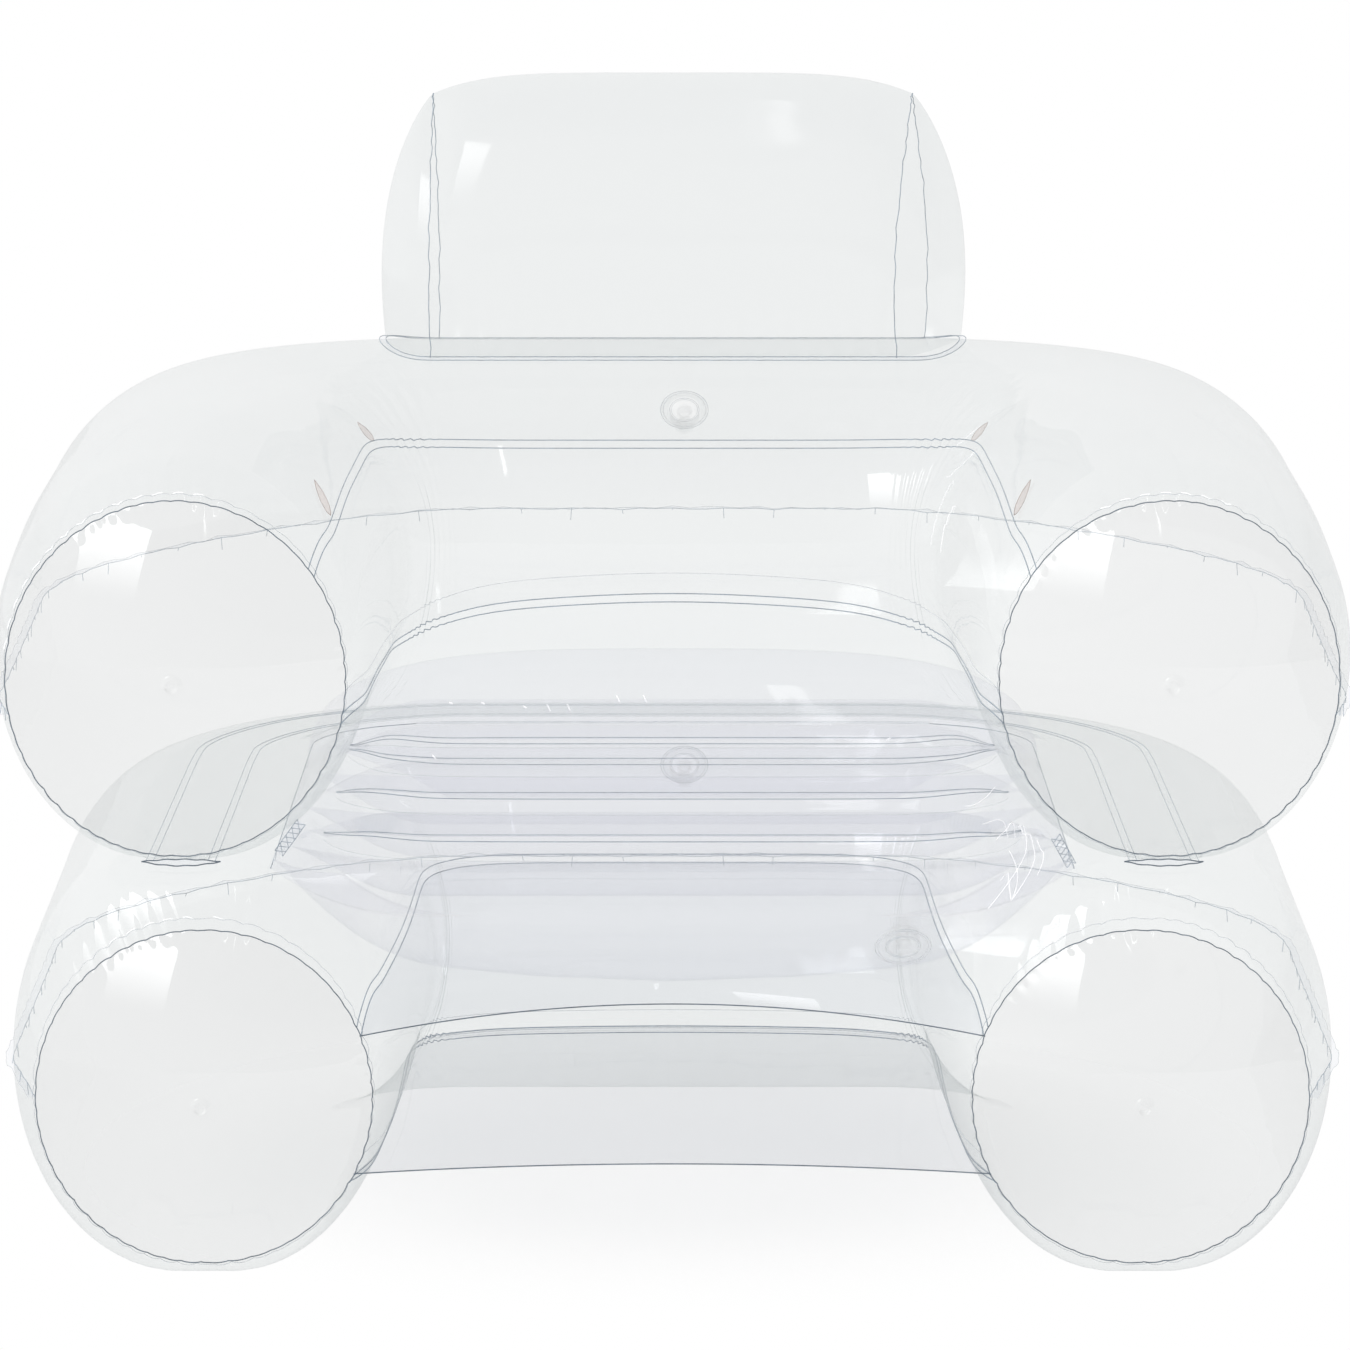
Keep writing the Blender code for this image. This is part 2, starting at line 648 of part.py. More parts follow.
def crest_tree():
    """Search tree of the outside of the arm tube's top film."""
    grid, _, sizes = tube_grid("arm")
    points = grid[:, :sizes[0]]
    stations, rows, _ = points.shape
    faces = grid_faces(stations, rows)
    return BVHTree.FromPolygons([tuple(p) for p in points.reshape(-1, 3)], faces)


def crest_height(tree, x, y):
    hit, _, _, _ = tree.ray_cast((x, y, 2.0), (0, 0, -1))
    extra = HEAD_END_LIFT if abs(x) > HEAD_HALF_X + GAP else 0.0
    return hit[2] + HEAD_LIFT + extra + FILM


def head_half(share, edge):
    """Half thickness of the pillow at a height share. edge is 0 mid pillow and 1 at the side seam."""
    swell = HEAD_BASE_HALF + HEAD_SWELL * math.sin(math.pi * min(1.0, share * 1.15)) ** 0.8
    round_top = (1 - share ** 5) ** 0.5
    point_top = 1 - share ** 2.4
    return swell * ((1 - edge) * round_top + edge * point_top)


def head_middle():
    sec = section("arm", 2.0)
    front = BACK_Y + section_point(sec, HEAD_FRONT_ANGLE)[0]
    return front + HEAD_BASE_HALF


def head_top(x):
    return HEAD_TOP_Z - (HEAD_TOP_Z - HEAD_TIP_Z) * (abs(x) / HEAD_HALF_X) ** 5


def build_headrest():
    tree = crest_tree()
    middle = head_middle()
    xs = [-x for x in reversed(HEAD_XS)] + list(HEAD_XS)
    stations = []
    for x in xs:
        edge = (abs(x) / HEAD_HALF_X) ** 3
        ring = []
        for side in (-1, 1):
            base_y = middle + side * HEAD_BASE_HALF
            base_z = crest_height(tree, x, base_y)
            flange_y = base_y + side * HEAD_FLANGE
            part = [(x, flange_y, crest_height(tree, x, flange_y)), (x, base_y, base_z)]
            for share in HEAD_SHARES:
                z = base_z + (head_top(x) - base_z) * share
                part.append((x, middle + side * head_half(share, edge), z))
            ring += part if side < 0 else [(x, middle, head_top(x))] + part[::-1]
        stations.append(ring)
    add_object("headrest_wrap_panel", *panel_from_rows(np.array(stations)))
    for name, sign in (("left", -1), ("right", 1)):
        build_head_side(tree, middle, name, sign)


def build_head_side(tree, middle, name, sign):
    """Leaf shaped side panel that bulges outward, with its weld flange on the tube."""
    start = HEAD_HALF_X + 2 * GAP
    rows = []
    for k, share in enumerate(SIDE_SHARES):
        half = head_half(share, 1.0)
        bulge = HEAD_BULGE * (0.92 + 0.5 * share) * (1 - share ** 2.0) ** 0.85
        row = []
        for c in SIDE_TURNS:
            x = start + bulge * (1 - c * c) ** 0.62
            y = middle + c * half
            low = crest_height(tree, sign * x, y)
            row.append((sign * x, y, low + (HEAD_TIP_Z - low) * share))
        if k == 0:
            flange = []
            for c, (x, y, z) in zip(SIDE_TURNS, row):
                aim = np.array([sign * max(0.0, 1 - c * c) ** 0.5, c])
                aim = aim / np.linalg.norm(aim) * HEAD_FLANGE
                fx, fy = x + aim[0], y + aim[1]
                flange.append((fx, fy, crest_height(tree, fx, fy)))
            rows.append(flange)
        rows.append(row)
    columns = len(SIDE_TURNS)
    verts = [p for row in rows for p in row] + [(sign * start, middle, HEAD_TIP_Z)]
    faces = grid_faces(len(rows), columns, flip=sign < 0)
    last = (len(rows) - 1) * columns
    tip = len(verts) - 1
    for j in range(columns - 1):
        fan = (last + j, last + j + 1, tip)
        faces.append(tuple(reversed(fan)) if sign < 0 else fan)
    add_object("headrest_side_panel_" + name, *thicken(verts, faces, FILM))


# Valves: flange with a cup, stem that pops out, plug with a pull tab, check flap on the stem's inner end

def revolve(profile):
    """Closed ring profile of (radius, height) turned round the local Z axis."""
    count = len(profile)
    verts = []
    for i in range(ROUND):
        a = 2 * math.pi * i / ROUND
        verts += [(r * math.cos(a), r * math.sin(a), z) for r, z in profile]
    faces = []
    for i in range(ROUND):
        n = (i + 1) % ROUND
        for j in range(count):
            k = (j + 1) % count
            faces.append((i * count + j, n * count + j, n * count + k, i * count + k))
    return verts, faces


def prism(outline, low, high):
    """Solid with a flat outline that runs anticlockwise."""
    count = len(outline)
    verts = [(x, y, low) for x, y in outline] + [(x, y, high) for x, y in outline]
    faces = [tuple(reversed(range(count))), tuple(range(count, 2 * count))]
    for j in range(count):
        k = (j + 1) % count
        faces.append((j, k, k + count, j + count))
    return verts, faces


def circle(radius, start=0.0, end=360.0, count=None):
    count = count or ROUND
    whole = abs(end - start) >= 360
    steps = count if whole else count - 1
    angles = [math.radians(start + (end - start) * k / steps) for k in range(count)]
    return [(radius * math.cos(a), radius * math.sin(a)) for a in angles]


def join_solids(base, other, operation="UNION"):
    modifier = base.modifiers.new("join", "BOOLEAN")
    modifier.operation = operation
    modifier.solver = "EXACT"
    modifier.object = other
    graph = bpy.context.evaluated_depsgraph_get()
    mesh = bpy.data.meshes.new_from_object(base.evaluated_get(graph))
    base.modifiers.clear()
    base.data = mesh
    bpy.data.objects.remove(other, do_unlink=True)


def placed(verts, centre, right, up, out):
    matrix = np.array([right, up, out]).T
    return [tuple(np.array(centre) + matrix @ np.array(v)) for v in verts]


def build_valve(prefix, centre, right, up, out, panel):
    """centre lies on the outer face of the film, out is the outward normal."""
    floor = -CUP_DEPTH
    wall = CUP_R - CUP_WALL
    bore = STEM_R + VALVE_FIT
    cup = [(VALVE_FLANGE_R, GAP), (VALVE_FLANGE_R, GAP + VALVE_FLANGE_T), (wall, GAP + VALVE_FLANGE_T),
           (wall, floor + CUP_WALL), (bore, floor + CUP_WALL), (bore, floor), (CUP_R, floor), (CUP_R, GAP)]
    stem_top = -0.0015
    lip_top = floor - STEM_TRAVEL - GAP
    lip_low = lip_top - STEM_LIP_T
    inner = STEM_R - STEM_WALL
    stem = [(inner, lip_low), (STEM_LIP_R, lip_low), (STEM_LIP_R, lip_top), (STEM_R, lip_top),
            (STEM_R, stem_top), (inner, stem_top)]
    grey = (0.80, 0.84, 0.88)
    pieces = {}
    for name, profile in (("flange", cup), ("stem", stem)):
        verts, faces = revolve(profile)
        pieces[name] = add_object(prefix + "_valve_" + name, placed(verts, centre, right, up, out),
                                  faces, grey, 0.25, centre)
    shaft = inner - VALVE_FIT
    head_low = stem_top + VALVE_FIT
    head_high = head_low + PLUG_HEAD_T
    head_r = STEM_R + 0.0004
    half = math.degrees(math.asin(TAB_WIDTH / 2 / head_r))
    outline = circle(head_r, -90 + half, 270 - half, ROUND - 2)
    outline += [(-TAB_WIDTH / 2, -head_r - TAB_LENGTH), (TAB_WIDTH / 2, -head_r - TAB_LENGTH)]
    verts, faces = prism(outline, head_low, head_high)
    plug = add_object(prefix + "_valve_plug", placed(verts, centre, right, up, out),
                      faces, grey, 0.25, centre)
    verts, faces = prism(circle(shaft), head_low - PLUG_DEPTH, head_low + PLUG_HEAD_T / 2)
    join_solids(plug, add_object("shaft", placed(verts, centre, right, up, out), faces, grey, 0.25, centre))
    flap_high = lip_low - GAP
    verts, faces = prism(circle(inner + 0.0010), flap_high - FLAP_T, flap_high)
    hinge = placed([(0, inner + 0.0010, flap_high)], centre, right, up, out)[0]
    add_object(prefix + "_valve_flap", placed(verts, centre, right, up, out), faces, grey, 0.25, hinge)
    verts, faces = prism(circle(CUP_R + VALVE_FIT), -0.012, 0.012)
    cutter = add_object("cutter", placed(verts, centre, right, up, out), faces, grey, 0.25, centre)
    join_solids(panel, cutter, "DIFFERENCE")


def tube_valve_frame(kind):
    """Centre and axes of the valve on the flat facet of the straight back."""
    upper, _, _ = rows_of(kind, section(kind, 2.0))
    low, high = upper[VALVE_ROW], upper[VALVE_ROW + 1]
    a = np.array([0.0, BACK_Y + low[0], low[1]])
    b = np.array([0.0, BACK_Y + high[0], high[1]])
    up = (a - b) / np.linalg.norm(a - b)
    right = np.array([-1.0, 0.0, 0.0])
    out = np.cross(right, up)
    centre = (a + b) / 2 + np.array([VALVE_X, 0, 0])
    return centre, right, up, out


def seat_valve_frame():
    """Centre and axes of the valve on the flat facet of the seat's nose."""
    sections, marks = seat_sections()
    high = marks["low0"] - 4
    near, far = np.array(sections[1]), np.array(sections[2])
    share = (SEAT_VALVE_X - near[high, 0]) / (far[high, 0] - near[high, 0])
    a = near[high] + (far[high] - near[high]) * share
    b = near[high + 1] + (far[high + 1] - near[high + 1]) * share
    right = far[high] - near[high]
    right /= np.linalg.norm(right)
    up = a - b
    up -= right * (up @ right)
    up /= np.linalg.norm(up)
    return (a + b) / 2, right, up, np.cross(right, up)


def build_all():
    clear_scene()
    base_top = build_tube("base")
    arm_top = build_tube("arm")
    build_sheet("seat_support_sheet", "top", SHEET_BOW)
    build_sheet("floor_sheet", "low", FLOOR_SHEET_BOW)
    seat = build_seat()
    build_headrest()
    build_valve("base", *tube_valve_frame("base"), base_top)
    build_valve("back", *tube_valve_frame("arm"), arm_top)
    build_valve("seat", *seat_valve_frame(), seat)


build_all()
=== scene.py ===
# %% [markdown]
# # Inflatable armchair in clear vinyl film
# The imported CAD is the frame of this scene. Every cut panel of the real chair is drawn here again as one
# fine surface, from the same section formulas and sizes as the CAD, with the pleats at the round end
# seams, the weld lines, the outer fins and the puckers that a welded air chair shows. A cloth simulation
# could blow the panels up as well. Formulas were chosen because they give the same film at every run, keep
# it on the CAD film and let each pucker stand where the real one stands. Lengths are metres.

# %% Frame
import bmesh
import bpy
import math
import numpy as np
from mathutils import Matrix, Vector


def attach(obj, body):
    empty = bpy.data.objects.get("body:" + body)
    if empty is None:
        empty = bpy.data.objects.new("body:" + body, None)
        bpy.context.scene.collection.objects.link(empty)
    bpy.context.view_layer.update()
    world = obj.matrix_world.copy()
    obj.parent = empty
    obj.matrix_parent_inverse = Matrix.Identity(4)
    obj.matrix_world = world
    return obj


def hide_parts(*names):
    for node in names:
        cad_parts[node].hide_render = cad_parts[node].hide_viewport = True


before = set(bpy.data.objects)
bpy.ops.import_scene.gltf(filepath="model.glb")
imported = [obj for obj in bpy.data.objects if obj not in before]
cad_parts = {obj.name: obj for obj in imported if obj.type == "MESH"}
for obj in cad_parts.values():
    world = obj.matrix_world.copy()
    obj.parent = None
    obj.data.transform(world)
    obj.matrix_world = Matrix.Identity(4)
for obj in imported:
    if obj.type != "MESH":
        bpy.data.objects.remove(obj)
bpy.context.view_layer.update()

# %% [markdown]
# ## Sizes
# The chair is symmetrical about X = 0 and looks towards -Y. Its sizes are those of the CAD, so the drawn
# film lies on the CAD film. Depths are counted from the end discs, and SHIFT_Y moves them to the middle.

# %% Sizes of the two tubes and the sheets
LAP = 0.008
FIN = 0.007
HALF_GAP = 0.00015
WELD_Z = 0.345
TUBE_TOP = 0.691
LINE_X = 0.398
BACK_Y = 0.722
CORNER_R = 0.205
WELD_HALF = 0.028
FLOOR_HALF = 0.034
FLOOR_SHIFT = -0.014
END_FLAT = 0.002
END_BLEND = 0.11
END_QUICK = 0.055
BACK_HALF = 0.171
DISC_HALF = 0.1368
DISC_HIGH = {"base": 0.1384, "arm": 0.1447}
DISC_X = {"base": 0.3795, "arm": 0.3985}
DISC_Z = {"base": 0.155, "arm": 0.4985}
DISC_DOME = 0.040
SHEET_BOW = 0.115
FLOOR_SHEET_BOW = 0.032
FRONT_Y = -(DISC_DOME + 0.007)
REAR_Y = BACK_Y + BACK_HALF + FIN
SHIFT_Y = -(FRONT_Y + REAR_Y) / 2

# %% Sizes of the seat and the headrest
SEAT_MID = 0.349
SEAT_EDGE_X = 0.322
SEAT_FULL_X = 0.210
SEAT_REAR_Y = BACK_Y - 0.097
SEAT_FLANGE = 0.007
RIB_YS = (0.052, 0.215, 0.366, 0.499)
RIB_LOWS = (0.0143, 0.0080, 0.0040, 0.0030)
RIB_LEAN = 0.020
RIB_WELD = 0.006
RIB_REACH = 0.286
SEAT_VALLEY = 0.010
SEAT_CREST = 0.054
SEAT_BELLY = 0.058
NOSE_Y = 0.020
NOSE_Z = SEAT_MID - 0.031
NOSE_R = 0.067
CORNER_REACH = 0.114
HEAD_TIP_Z = 0.917
HEAD_TOP_Z = 0.936
HEAD_FLANGE = 0.006
HEAD_SKEW = 0.0085
HEAD_SPREAD = 0.0065
HEAD_DRAWN_X = 0.2185
HEAD_DRAWN_BULGE = 0.0485
HEAD_FRONT_ANGLE = 69.0
HEAD_BASE_HALF = 0.053
HEAD_SWELL = 0.014

SIDES = (("left", -1), ("right", 1))
print("Depth from the discs' domes to the rear fin: %.3f" % (REAR_Y - FRONT_Y))

# %% [markdown]
# ## Colours and nodes
# Colours are picked in sRGB, as a paint program shows them, but Blender mixes light in linear values, so
# one function turns the hex into linear. Another adds a node with its settings and links. Writing the
# links where the node is made keeps a tree readable from top to bottom.

# %% Colours and nodes


def linear(hex_colour):
    """Linear RGBA of an sRGB hex colour."""
    channels = [int(hex_colour[i:i + 2], 16) / 255 for i in (1, 3, 5)]
    return [c / 12.92 if c <= 0.04045 else ((c + 0.055) / 1.055) ** 2.4 for c in channels] + [1.0]


def empty_tree(owner):
    """The node tree of a material or a world, cleared."""
    owner.use_nodes = True
    owner.node_tree.nodes.clear()
    return owner.node_tree


def add_node(tree, kind, inputs=(), **settings):
    """A node. inputs gives a socket, by name or number, its value or the output that feeds it."""
    node = tree.nodes.new(kind)
    for name, value in settings.items():
        setattr(node, name, value)
    for name, value in dict(inputs).items():
        if isinstance(value, bpy.types.NodeSocket):
            tree.links.new(value, node.inputs[name])
        else:
            node.inputs[name].default_value = value
    return node


print("The film's tint #f7f8f8 is linear", [round(channel, 3) for channel in linear("#f7f8f8")])

# %% [markdown]
# ## Pieces
# A piece is a mesh made from points and faces. It rides on a body of the CAD and takes the finish
# that it is given. Most films are grids: rows of points along the seam, joined by four-sided faces,
# which keeps the shading smooth.

# %% Pieces


def in_scene(name, data):
    """A new object in the scene."""
    item = bpy.data.objects.new(name, data)
    bpy.context.scene.collection.objects.link(item)
    return item


def add_piece(name, mesh, finish, body="chair"):
    """Put the mesh in the scene as a piece that rides on the body and has the given finish."""
    mesh.polygons.foreach_set("use_smooth", [True] * len(mesh.polygons))
    mesh.materials.clear()
    mesh.materials.append(finish)
    piece = in_scene(name, mesh)
    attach(piece, body)
    print(name, "has", len(mesh.polygons), "faces")
    return piece


def new_piece(name, verts, faces, finish):
    mesh = bpy.data.meshes.new(name)
    mesh.from_pydata([tuple(v) for v in verts], [], faces)
    mesh.update()
    return add_piece(name, mesh, finish)


def grid_faces(rows, columns, closed=False):
    """Faces between rows x columns of points. closed joins the last column to the first."""
    return [(i * columns + j, (i + 1) * columns + j,
             (i + 1) * columns + (j + 1) % columns, i * columns + (j + 1) % columns)
            for i in range(rows - 1) for j in range(columns if closed else columns - 1)]


def grid_piece(name, points, finish):
    return new_piece(name, points.reshape(-1, 3), grid_faces(*points.shape[:2]), finish)


# %% [markdown]
# ## Weld beads
# Films are joined by high frequency welding: a brass bar melts both together, and a thin raised line stays
# at each edge of the bar. The lines are what the eye sees of a clear chair. A curve with a bevel could draw
# one, but a Geometry Nodes tree sweeps a ring along every chain of edges of a mesh, so one piece holds all
# the lines of a seam. The tree ends in real geometry with its finish, and the result becomes a plain mesh.
# BEADS holds the radii, bold for the cut edges that catch the light and fine for welds that hardly show.

# %% Weld beads
BEADS = {"edge": 0.00055, "rim glint": 0.0005, "seam": 0.00048, "line": 0.00042, "soft": 0.0004,
         "rib": 0.00036, "skirt": 0.00035, "seat glint": 0.00034, "faint": 0.0003, "mesh": 0.00028,
         "hair": 0.00025, "foot": 0.00018, "glint dot": 0.0007}
BEAD_SIDES = 6


def weld_bead_tree():
    """Geometry Nodes: a round bead, closed at its ends, along every chain of edges of a mesh."""
    tree = bpy.data.node_groups.new("weld_bead", "GeometryNodeTree")
    for title, way, kind in (("Geometry", "INPUT", "Geometry"), ("Bead Radius", "INPUT", "Float"),
                             ("Bead Sides", "INPUT", "Int"), ("Finish", "INPUT", "Material"),
                             ("Geometry", "OUTPUT", "Geometry")):
        tree.interface.new_socket(title, in_out=way, socket_type="NodeSocket" + kind)
    given = add_node(tree, "NodeGroupInput").outputs
    path = add_node(tree, "GeometryNodeMeshToCurve", {"Mesh": given["Geometry"]})
    ring = add_node(tree, "GeometryNodeCurvePrimitiveCircle",
                    {"Resolution": given["Bead Sides"], "Radius": given["Bead Radius"]})
    sweep = add_node(tree, "GeometryNodeCurveToMesh", {"Curve": path.outputs["Curve"], "Fill Caps": True,
                                                       "Profile Curve": ring.outputs["Curve"]})
    real = add_node(tree, "GeometryNodeRealizeInstances", {"Geometry": sweep.outputs["Mesh"]})
    paint = add_node(tree, "GeometryNodeSetMaterial",
                     {"Geometry": real.outputs["Geometry"], "Material": given["Finish"]})
    add_node(tree, "NodeGroupOutput", {"Geometry": paint.outputs["Geometry"]})
    return tree


WELD_BEAD = weld_bead_tree()
print("The weld bead's tree has", len(WELD_BEAD.nodes), "nodes")


def bead_piece(name, lines, weight, finish):
    """Weld beads along open or closed lines of points. A closed line repeats its start."""
    verts, edges = [], []
    for line in lines:
        line = np.asarray(line, float)
        closed = np.linalg.norm(line[0] - line[-1]) < 1e-6
        line = line[:-1] if closed else line
        start = len(verts)
        verts += [tuple(point) for point in line]
        edges += [(k, k + 1) for k in range(start, len(verts) - 1)]
        if closed:
            edges.append((len(verts) - 1, start))
    mesh = bpy.data.meshes.new(name + "_path")
    mesh.from_pydata(verts, edges, [])
    path = in_scene(name + "_path", mesh)
    modifier = path.modifiers.new("weld_bead", "NODES")
    modifier.node_group = WELD_BEAD
    sizes = {"Bead Radius": BEADS[weight], "Bead Sides": BEAD_SIDES, "Finish": finish}
    for socket in WELD_BEAD.interface.items_tree:
        if socket.name in sizes:
            modifier[socket.identifier] = sizes[socket.name]
    swept = path.evaluated_get(bpy.context.evaluated_depsgraph_get())
    plain = bpy.data.meshes.new_from_object(swept)
    bpy.data.objects.remove(path)
    return add_piece(name, plain, finish)


# %% [markdown]
# ## Smooth steps
# Film under pressure has no hard corners, so values that change along the chair pass through a soft step,
# and a table of sizes is read with its corners rounded off.

# %% Smooth steps


def smooth_step(value, low, high):
    u = np.clip((value - low) / (high - low), 0.0, 1.0)
    return u * u * (3 - 2 * u)


def smooth_ramp(value, table, reach=0.15):
    """Lookup in a table of (place, value), rounded off over reach on both sides."""
    places, values = zip(*table)
    return np.mean([np.interp(value + d, places, values) for d in np.linspace(-reach, reach, 9)], axis=0)


print("Half way up a smooth step:", smooth_step(0.5, 0, 1))

# %% [markdown]
# ## Valve holes
# Each valve is welded over a round hole in the film, and its stem slides out through that hole. The place
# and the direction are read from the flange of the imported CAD. A boolean would cut the hole too, but it
# leaves thin faces. Here the faces round it are divided first and the rim is moved on to a true circle,
# which the flange then covers.

# %% Valve holes
VALVE_HOLE = 0.015
VALVE_NEAR = 0.030
CHAIR_MIDDLE = (0, 0.29, 0.30)


def valve_place(prefix):
    """Centre of the flange's foot, the way out of the film, the flange's radius and two ways along it."""
    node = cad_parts[prefix + "_valve_flange"]
    verts = np.array([node.matrix_world @ v.co for v in node.data.vertices])
    centre = verts.mean(axis=0)
    normal = np.linalg.svd(verts - centre)[2][2]
    if normal @ (centre - np.array(CHAIR_MIDDLE)) < 0:
        normal = -normal
    spread = verts - centre
    flat = spread - np.outer(spread @ normal, normal)
    radius = np.linalg.norm(flat, axis=1)
    wide = radius.max()
    centre = centre + (verts[radius > 0.9 * wide] - centre).mean(axis=0)
    side = np.cross(normal, (0, 0, 1.0))
    side /= np.linalg.norm(side)
    return centre, normal, wide, side, np.cross(side, normal)


def open_valve_hole(piece, prefix):
    centre, normal = valve_place(prefix)[:2]

    def parts(point):
        """Height of the point over the flange's foot, and its way out from the axis."""
        spread = np.array(point) - centre
        height = spread @ normal
        return height, spread - height * normal

    def reach(point):
        height, flat = parts(point)
        return np.linalg.norm(flat) + 10 * (abs(height) > VALVE_NEAR)

    shape = bmesh.new()
    shape.from_mesh(piece.data)
    near = {edge for vert in shape.verts if reach(vert.co) < VALVE_NEAR for edge in vert.link_edges}
    bmesh.ops.subdivide_edges(shape, edges=list(near), cuts=3, use_grid_fill=True)
    inside = [face for face in shape.faces if reach(face.calc_center_median()) < VALVE_HOLE]
    bmesh.ops.delete(shape, geom=inside, context="FACES")
    for vert in shape.verts:
        if vert.is_boundary and reach(vert.co) < VALVE_NEAR:
            height, flat = parts(vert.co)
            vert.co = centre + height * normal + flat * VALVE_HOLE / np.linalg.norm(flat)
    shape.to_mesh(piece.data)
    shape.free()
    print(piece.name, "opened for the", prefix, "valve,", len(inside), "faces cut")


# %% [markdown]
# ## Film finish
# The chair is clear plasticised PVC film, blown or calendered, about 0.4 mm thick. A glass shader on a
# single surface would bend the light as a solid block does, so the film is a mix instead: a transparent
# part tinted a little grey, a thin milky part, and gloss that follows the angle of view with Schlick's
# formula. A thin film reflects at both faces, so it mirrors about 7% when it is seen square on. The bump is
# the slight waviness of film under pressure. Its scale comes from the real size of one wave.

# %% Film finish
SCHLICK_GAIN = 0.30
WAVE_HEIGHT = 0.006


def per_metre(size_mm):
    """Scale of a noise on Object coordinates from the real size of one of its cells."""
    return 1000 / size_mm


def film_finish(name, tint, haze=0.02, mirror=0.07, roughness=0.035, wave=0.10, wave_mm=90.9):
    """Clear PVC film. tint is the colour that one layer lets through and haze its milky share."""
    finish = bpy.data.materials.new(name)
    tree = empty_tree(finish)
    place = add_node(tree, "ShaderNodeTexCoord").outputs["Object"]
    noise = add_node(tree, "ShaderNodeTexNoise",
                     {"Vector": place, "Scale": per_metre(wave_mm), "Detail": 2.0, "Roughness": 0.45})
    bump = add_node(tree, "ShaderNodeBump",
                    {"Height": noise.outputs["Fac"], "Strength": wave, "Distance": WAVE_HEIGHT})
    clear = add_node(tree, "ShaderNodeBsdfTransparent", {"Color": linear(tint)})
    milk = add_node(tree, "ShaderNodeBsdfPrincipled", {"Roughness": 0.35, "Base Color": linear("#f6f8fa")})
    body = add_node(tree, "ShaderNodeMixShader", {"Fac": haze, 1: clear.outputs[0], 2: milk.outputs[0]})
    facing = add_node(tree, "ShaderNodeLayerWeight", {"Blend": 0.5})
    power = add_node(tree, "ShaderNodeMath", {0: facing.outputs["Facing"], 1: 5.0}, operation="POWER")
    schlick = add_node(tree, "ShaderNodeMath", {0: power.outputs[0], 1: SCHLICK_GAIN, 2: mirror},
                       operation="MULTIPLY_ADD")
    gloss = add_node(tree, "ShaderNodeBsdfAnisotropic",
                     {"Normal": bump.outputs["Normal"], "Roughness": roughness, "Color": linear("#ffffff")})
    mixed = add_node(tree, "ShaderNodeMixShader",
                     {"Fac": schlick.outputs[0], 1: body.outputs[0], 2: gloss.outputs[0]})
    add_node(tree, "ShaderNodeOutputMaterial", {"Surface": mixed.outputs[0]})
    return finish


print("A wave of 90.9 mm is a noise of scale %.1f" % per_metre(90.9))

# %% [markdown]
# ## Weld finish
# Welded PVC is denser than the film round it and looks grey or bluish from the side. It is drawn half
# transparent. The bar leaves it uneven, so a noise of about 11 mm, the length of one bright or dark stretch
# along a seam, changes its tone. A little white emission, used only on the crease lines, paints glints:
# it makes them glow as painted highlights.

# %% Weld finish
WELD_PATCH_MM = 11.11


def seam_finish(name, colour, cover, glint=0.0):
    """Heat welded film. cover is how solid it looks."""
    finish = bpy.data.materials.new(name)
    tree = empty_tree(finish)
    place = add_node(tree, "ShaderNodeTexCoord").outputs["Object"]
    noise = add_node(tree, "ShaderNodeTexNoise",
                     {"Vector": place, "Scale": per_metre(WELD_PATCH_MM), "Detail": 3.0})
    tone = add_node(tree, "ShaderNodeValToRGB", {"Fac": noise.outputs["Fac"]})
    light = [min(1.0, 1.7 * c) for c in linear(colour)[:3]] + [1.0]
    for stop, position, shade in zip(tone.color_ramp.elements, (0.3, 0.8), (linear(colour), light)):
        stop.position = position
        stop.color = shade
    # glint is a white emission, a painted glint. Only the crease lines set it.
    shader = add_node(tree, "ShaderNodeBsdfPrincipled",
                      {"Base Color": tone.outputs["Color"], "Roughness": 0.28, "Alpha": cover,
                       "Emission Color": linear("#ffffff"), "Emission Strength": glint})
    add_node(tree, "ShaderNodeOutputMaterial", {"Surface": shader.outputs[0]})
    return finish


# %% [markdown]
# ## The finishes of the chair
# All panels are cut from one roll, but a picture shows each through a different number of layers and at a
# different slant. The tints and the mirror shares are matched to that.

# %% Finishes
# Blown soft PVC, glossy: the eye sees its outline, its highlights and a faint grey.
tube_film = film_finish("clear_pvc_tube_film", "#f7f8f8", haze=0.012)
# The same film where it is only seen through others, so it mirrors less.
under_film = film_finish("clear_pvc_underside_film", "#f9fafa", haze=0.006, mirror=0.05)
crown_film = film_finish("clear_pvc_crown_film", "#f9fafa", haze=0.010, mirror=0.06)
# End discs are stretched taut: long, shallow waves and crisp window highlights.
disc_film = film_finish("clear_pvc_end_film", "#f6f6f6", haze=0.012, wave=0.06, wave_mm=222.2)
# The pillow is softer blown: its highlights are blurred.
head_film = film_finish("clear_pvc_pillow_film", "#f7f8f8", haze=0.012, mirror=0.045, roughness=0.09,
                        wave=0.12)
# Seat, ribs and sheets lie behind each other, so each layer is nearly clear and together they turn blue-grey.
seat_film = film_finish("clear_pvc_seat_film", "#fdfdfe", haze=0.003, mirror=0.03, wave=0.12)
sheet_film = film_finish("clear_pvc_sheet_film", "#f9fafc", haze=0.004, mirror=0.05, wave=0.08)
floor_film = film_finish("clear_pvc_floor_sheet_film", "#eeeff1", haze=0.02, mirror=0.05, wave=0.08)
rib_film = film_finish("clear_pvc_rib_film", "#fefefe", haze=0.002, mirror=0.01, wave=0.0)
# High frequency welds: dark where two rims meet edge on, pale where the weld lies flat on one film.
rim_weld = seam_finish("end_seam_weld", "#66727e", 0.80)
line_weld = seam_finish("lap_seam_weld", "#8b9aa8", 0.60)
soft_weld = seam_finish("back_seam_weld", "#a9b5bf", 0.45)
faint_weld = seam_finish("skirt_weld", "#cfd8e0", 0.40)
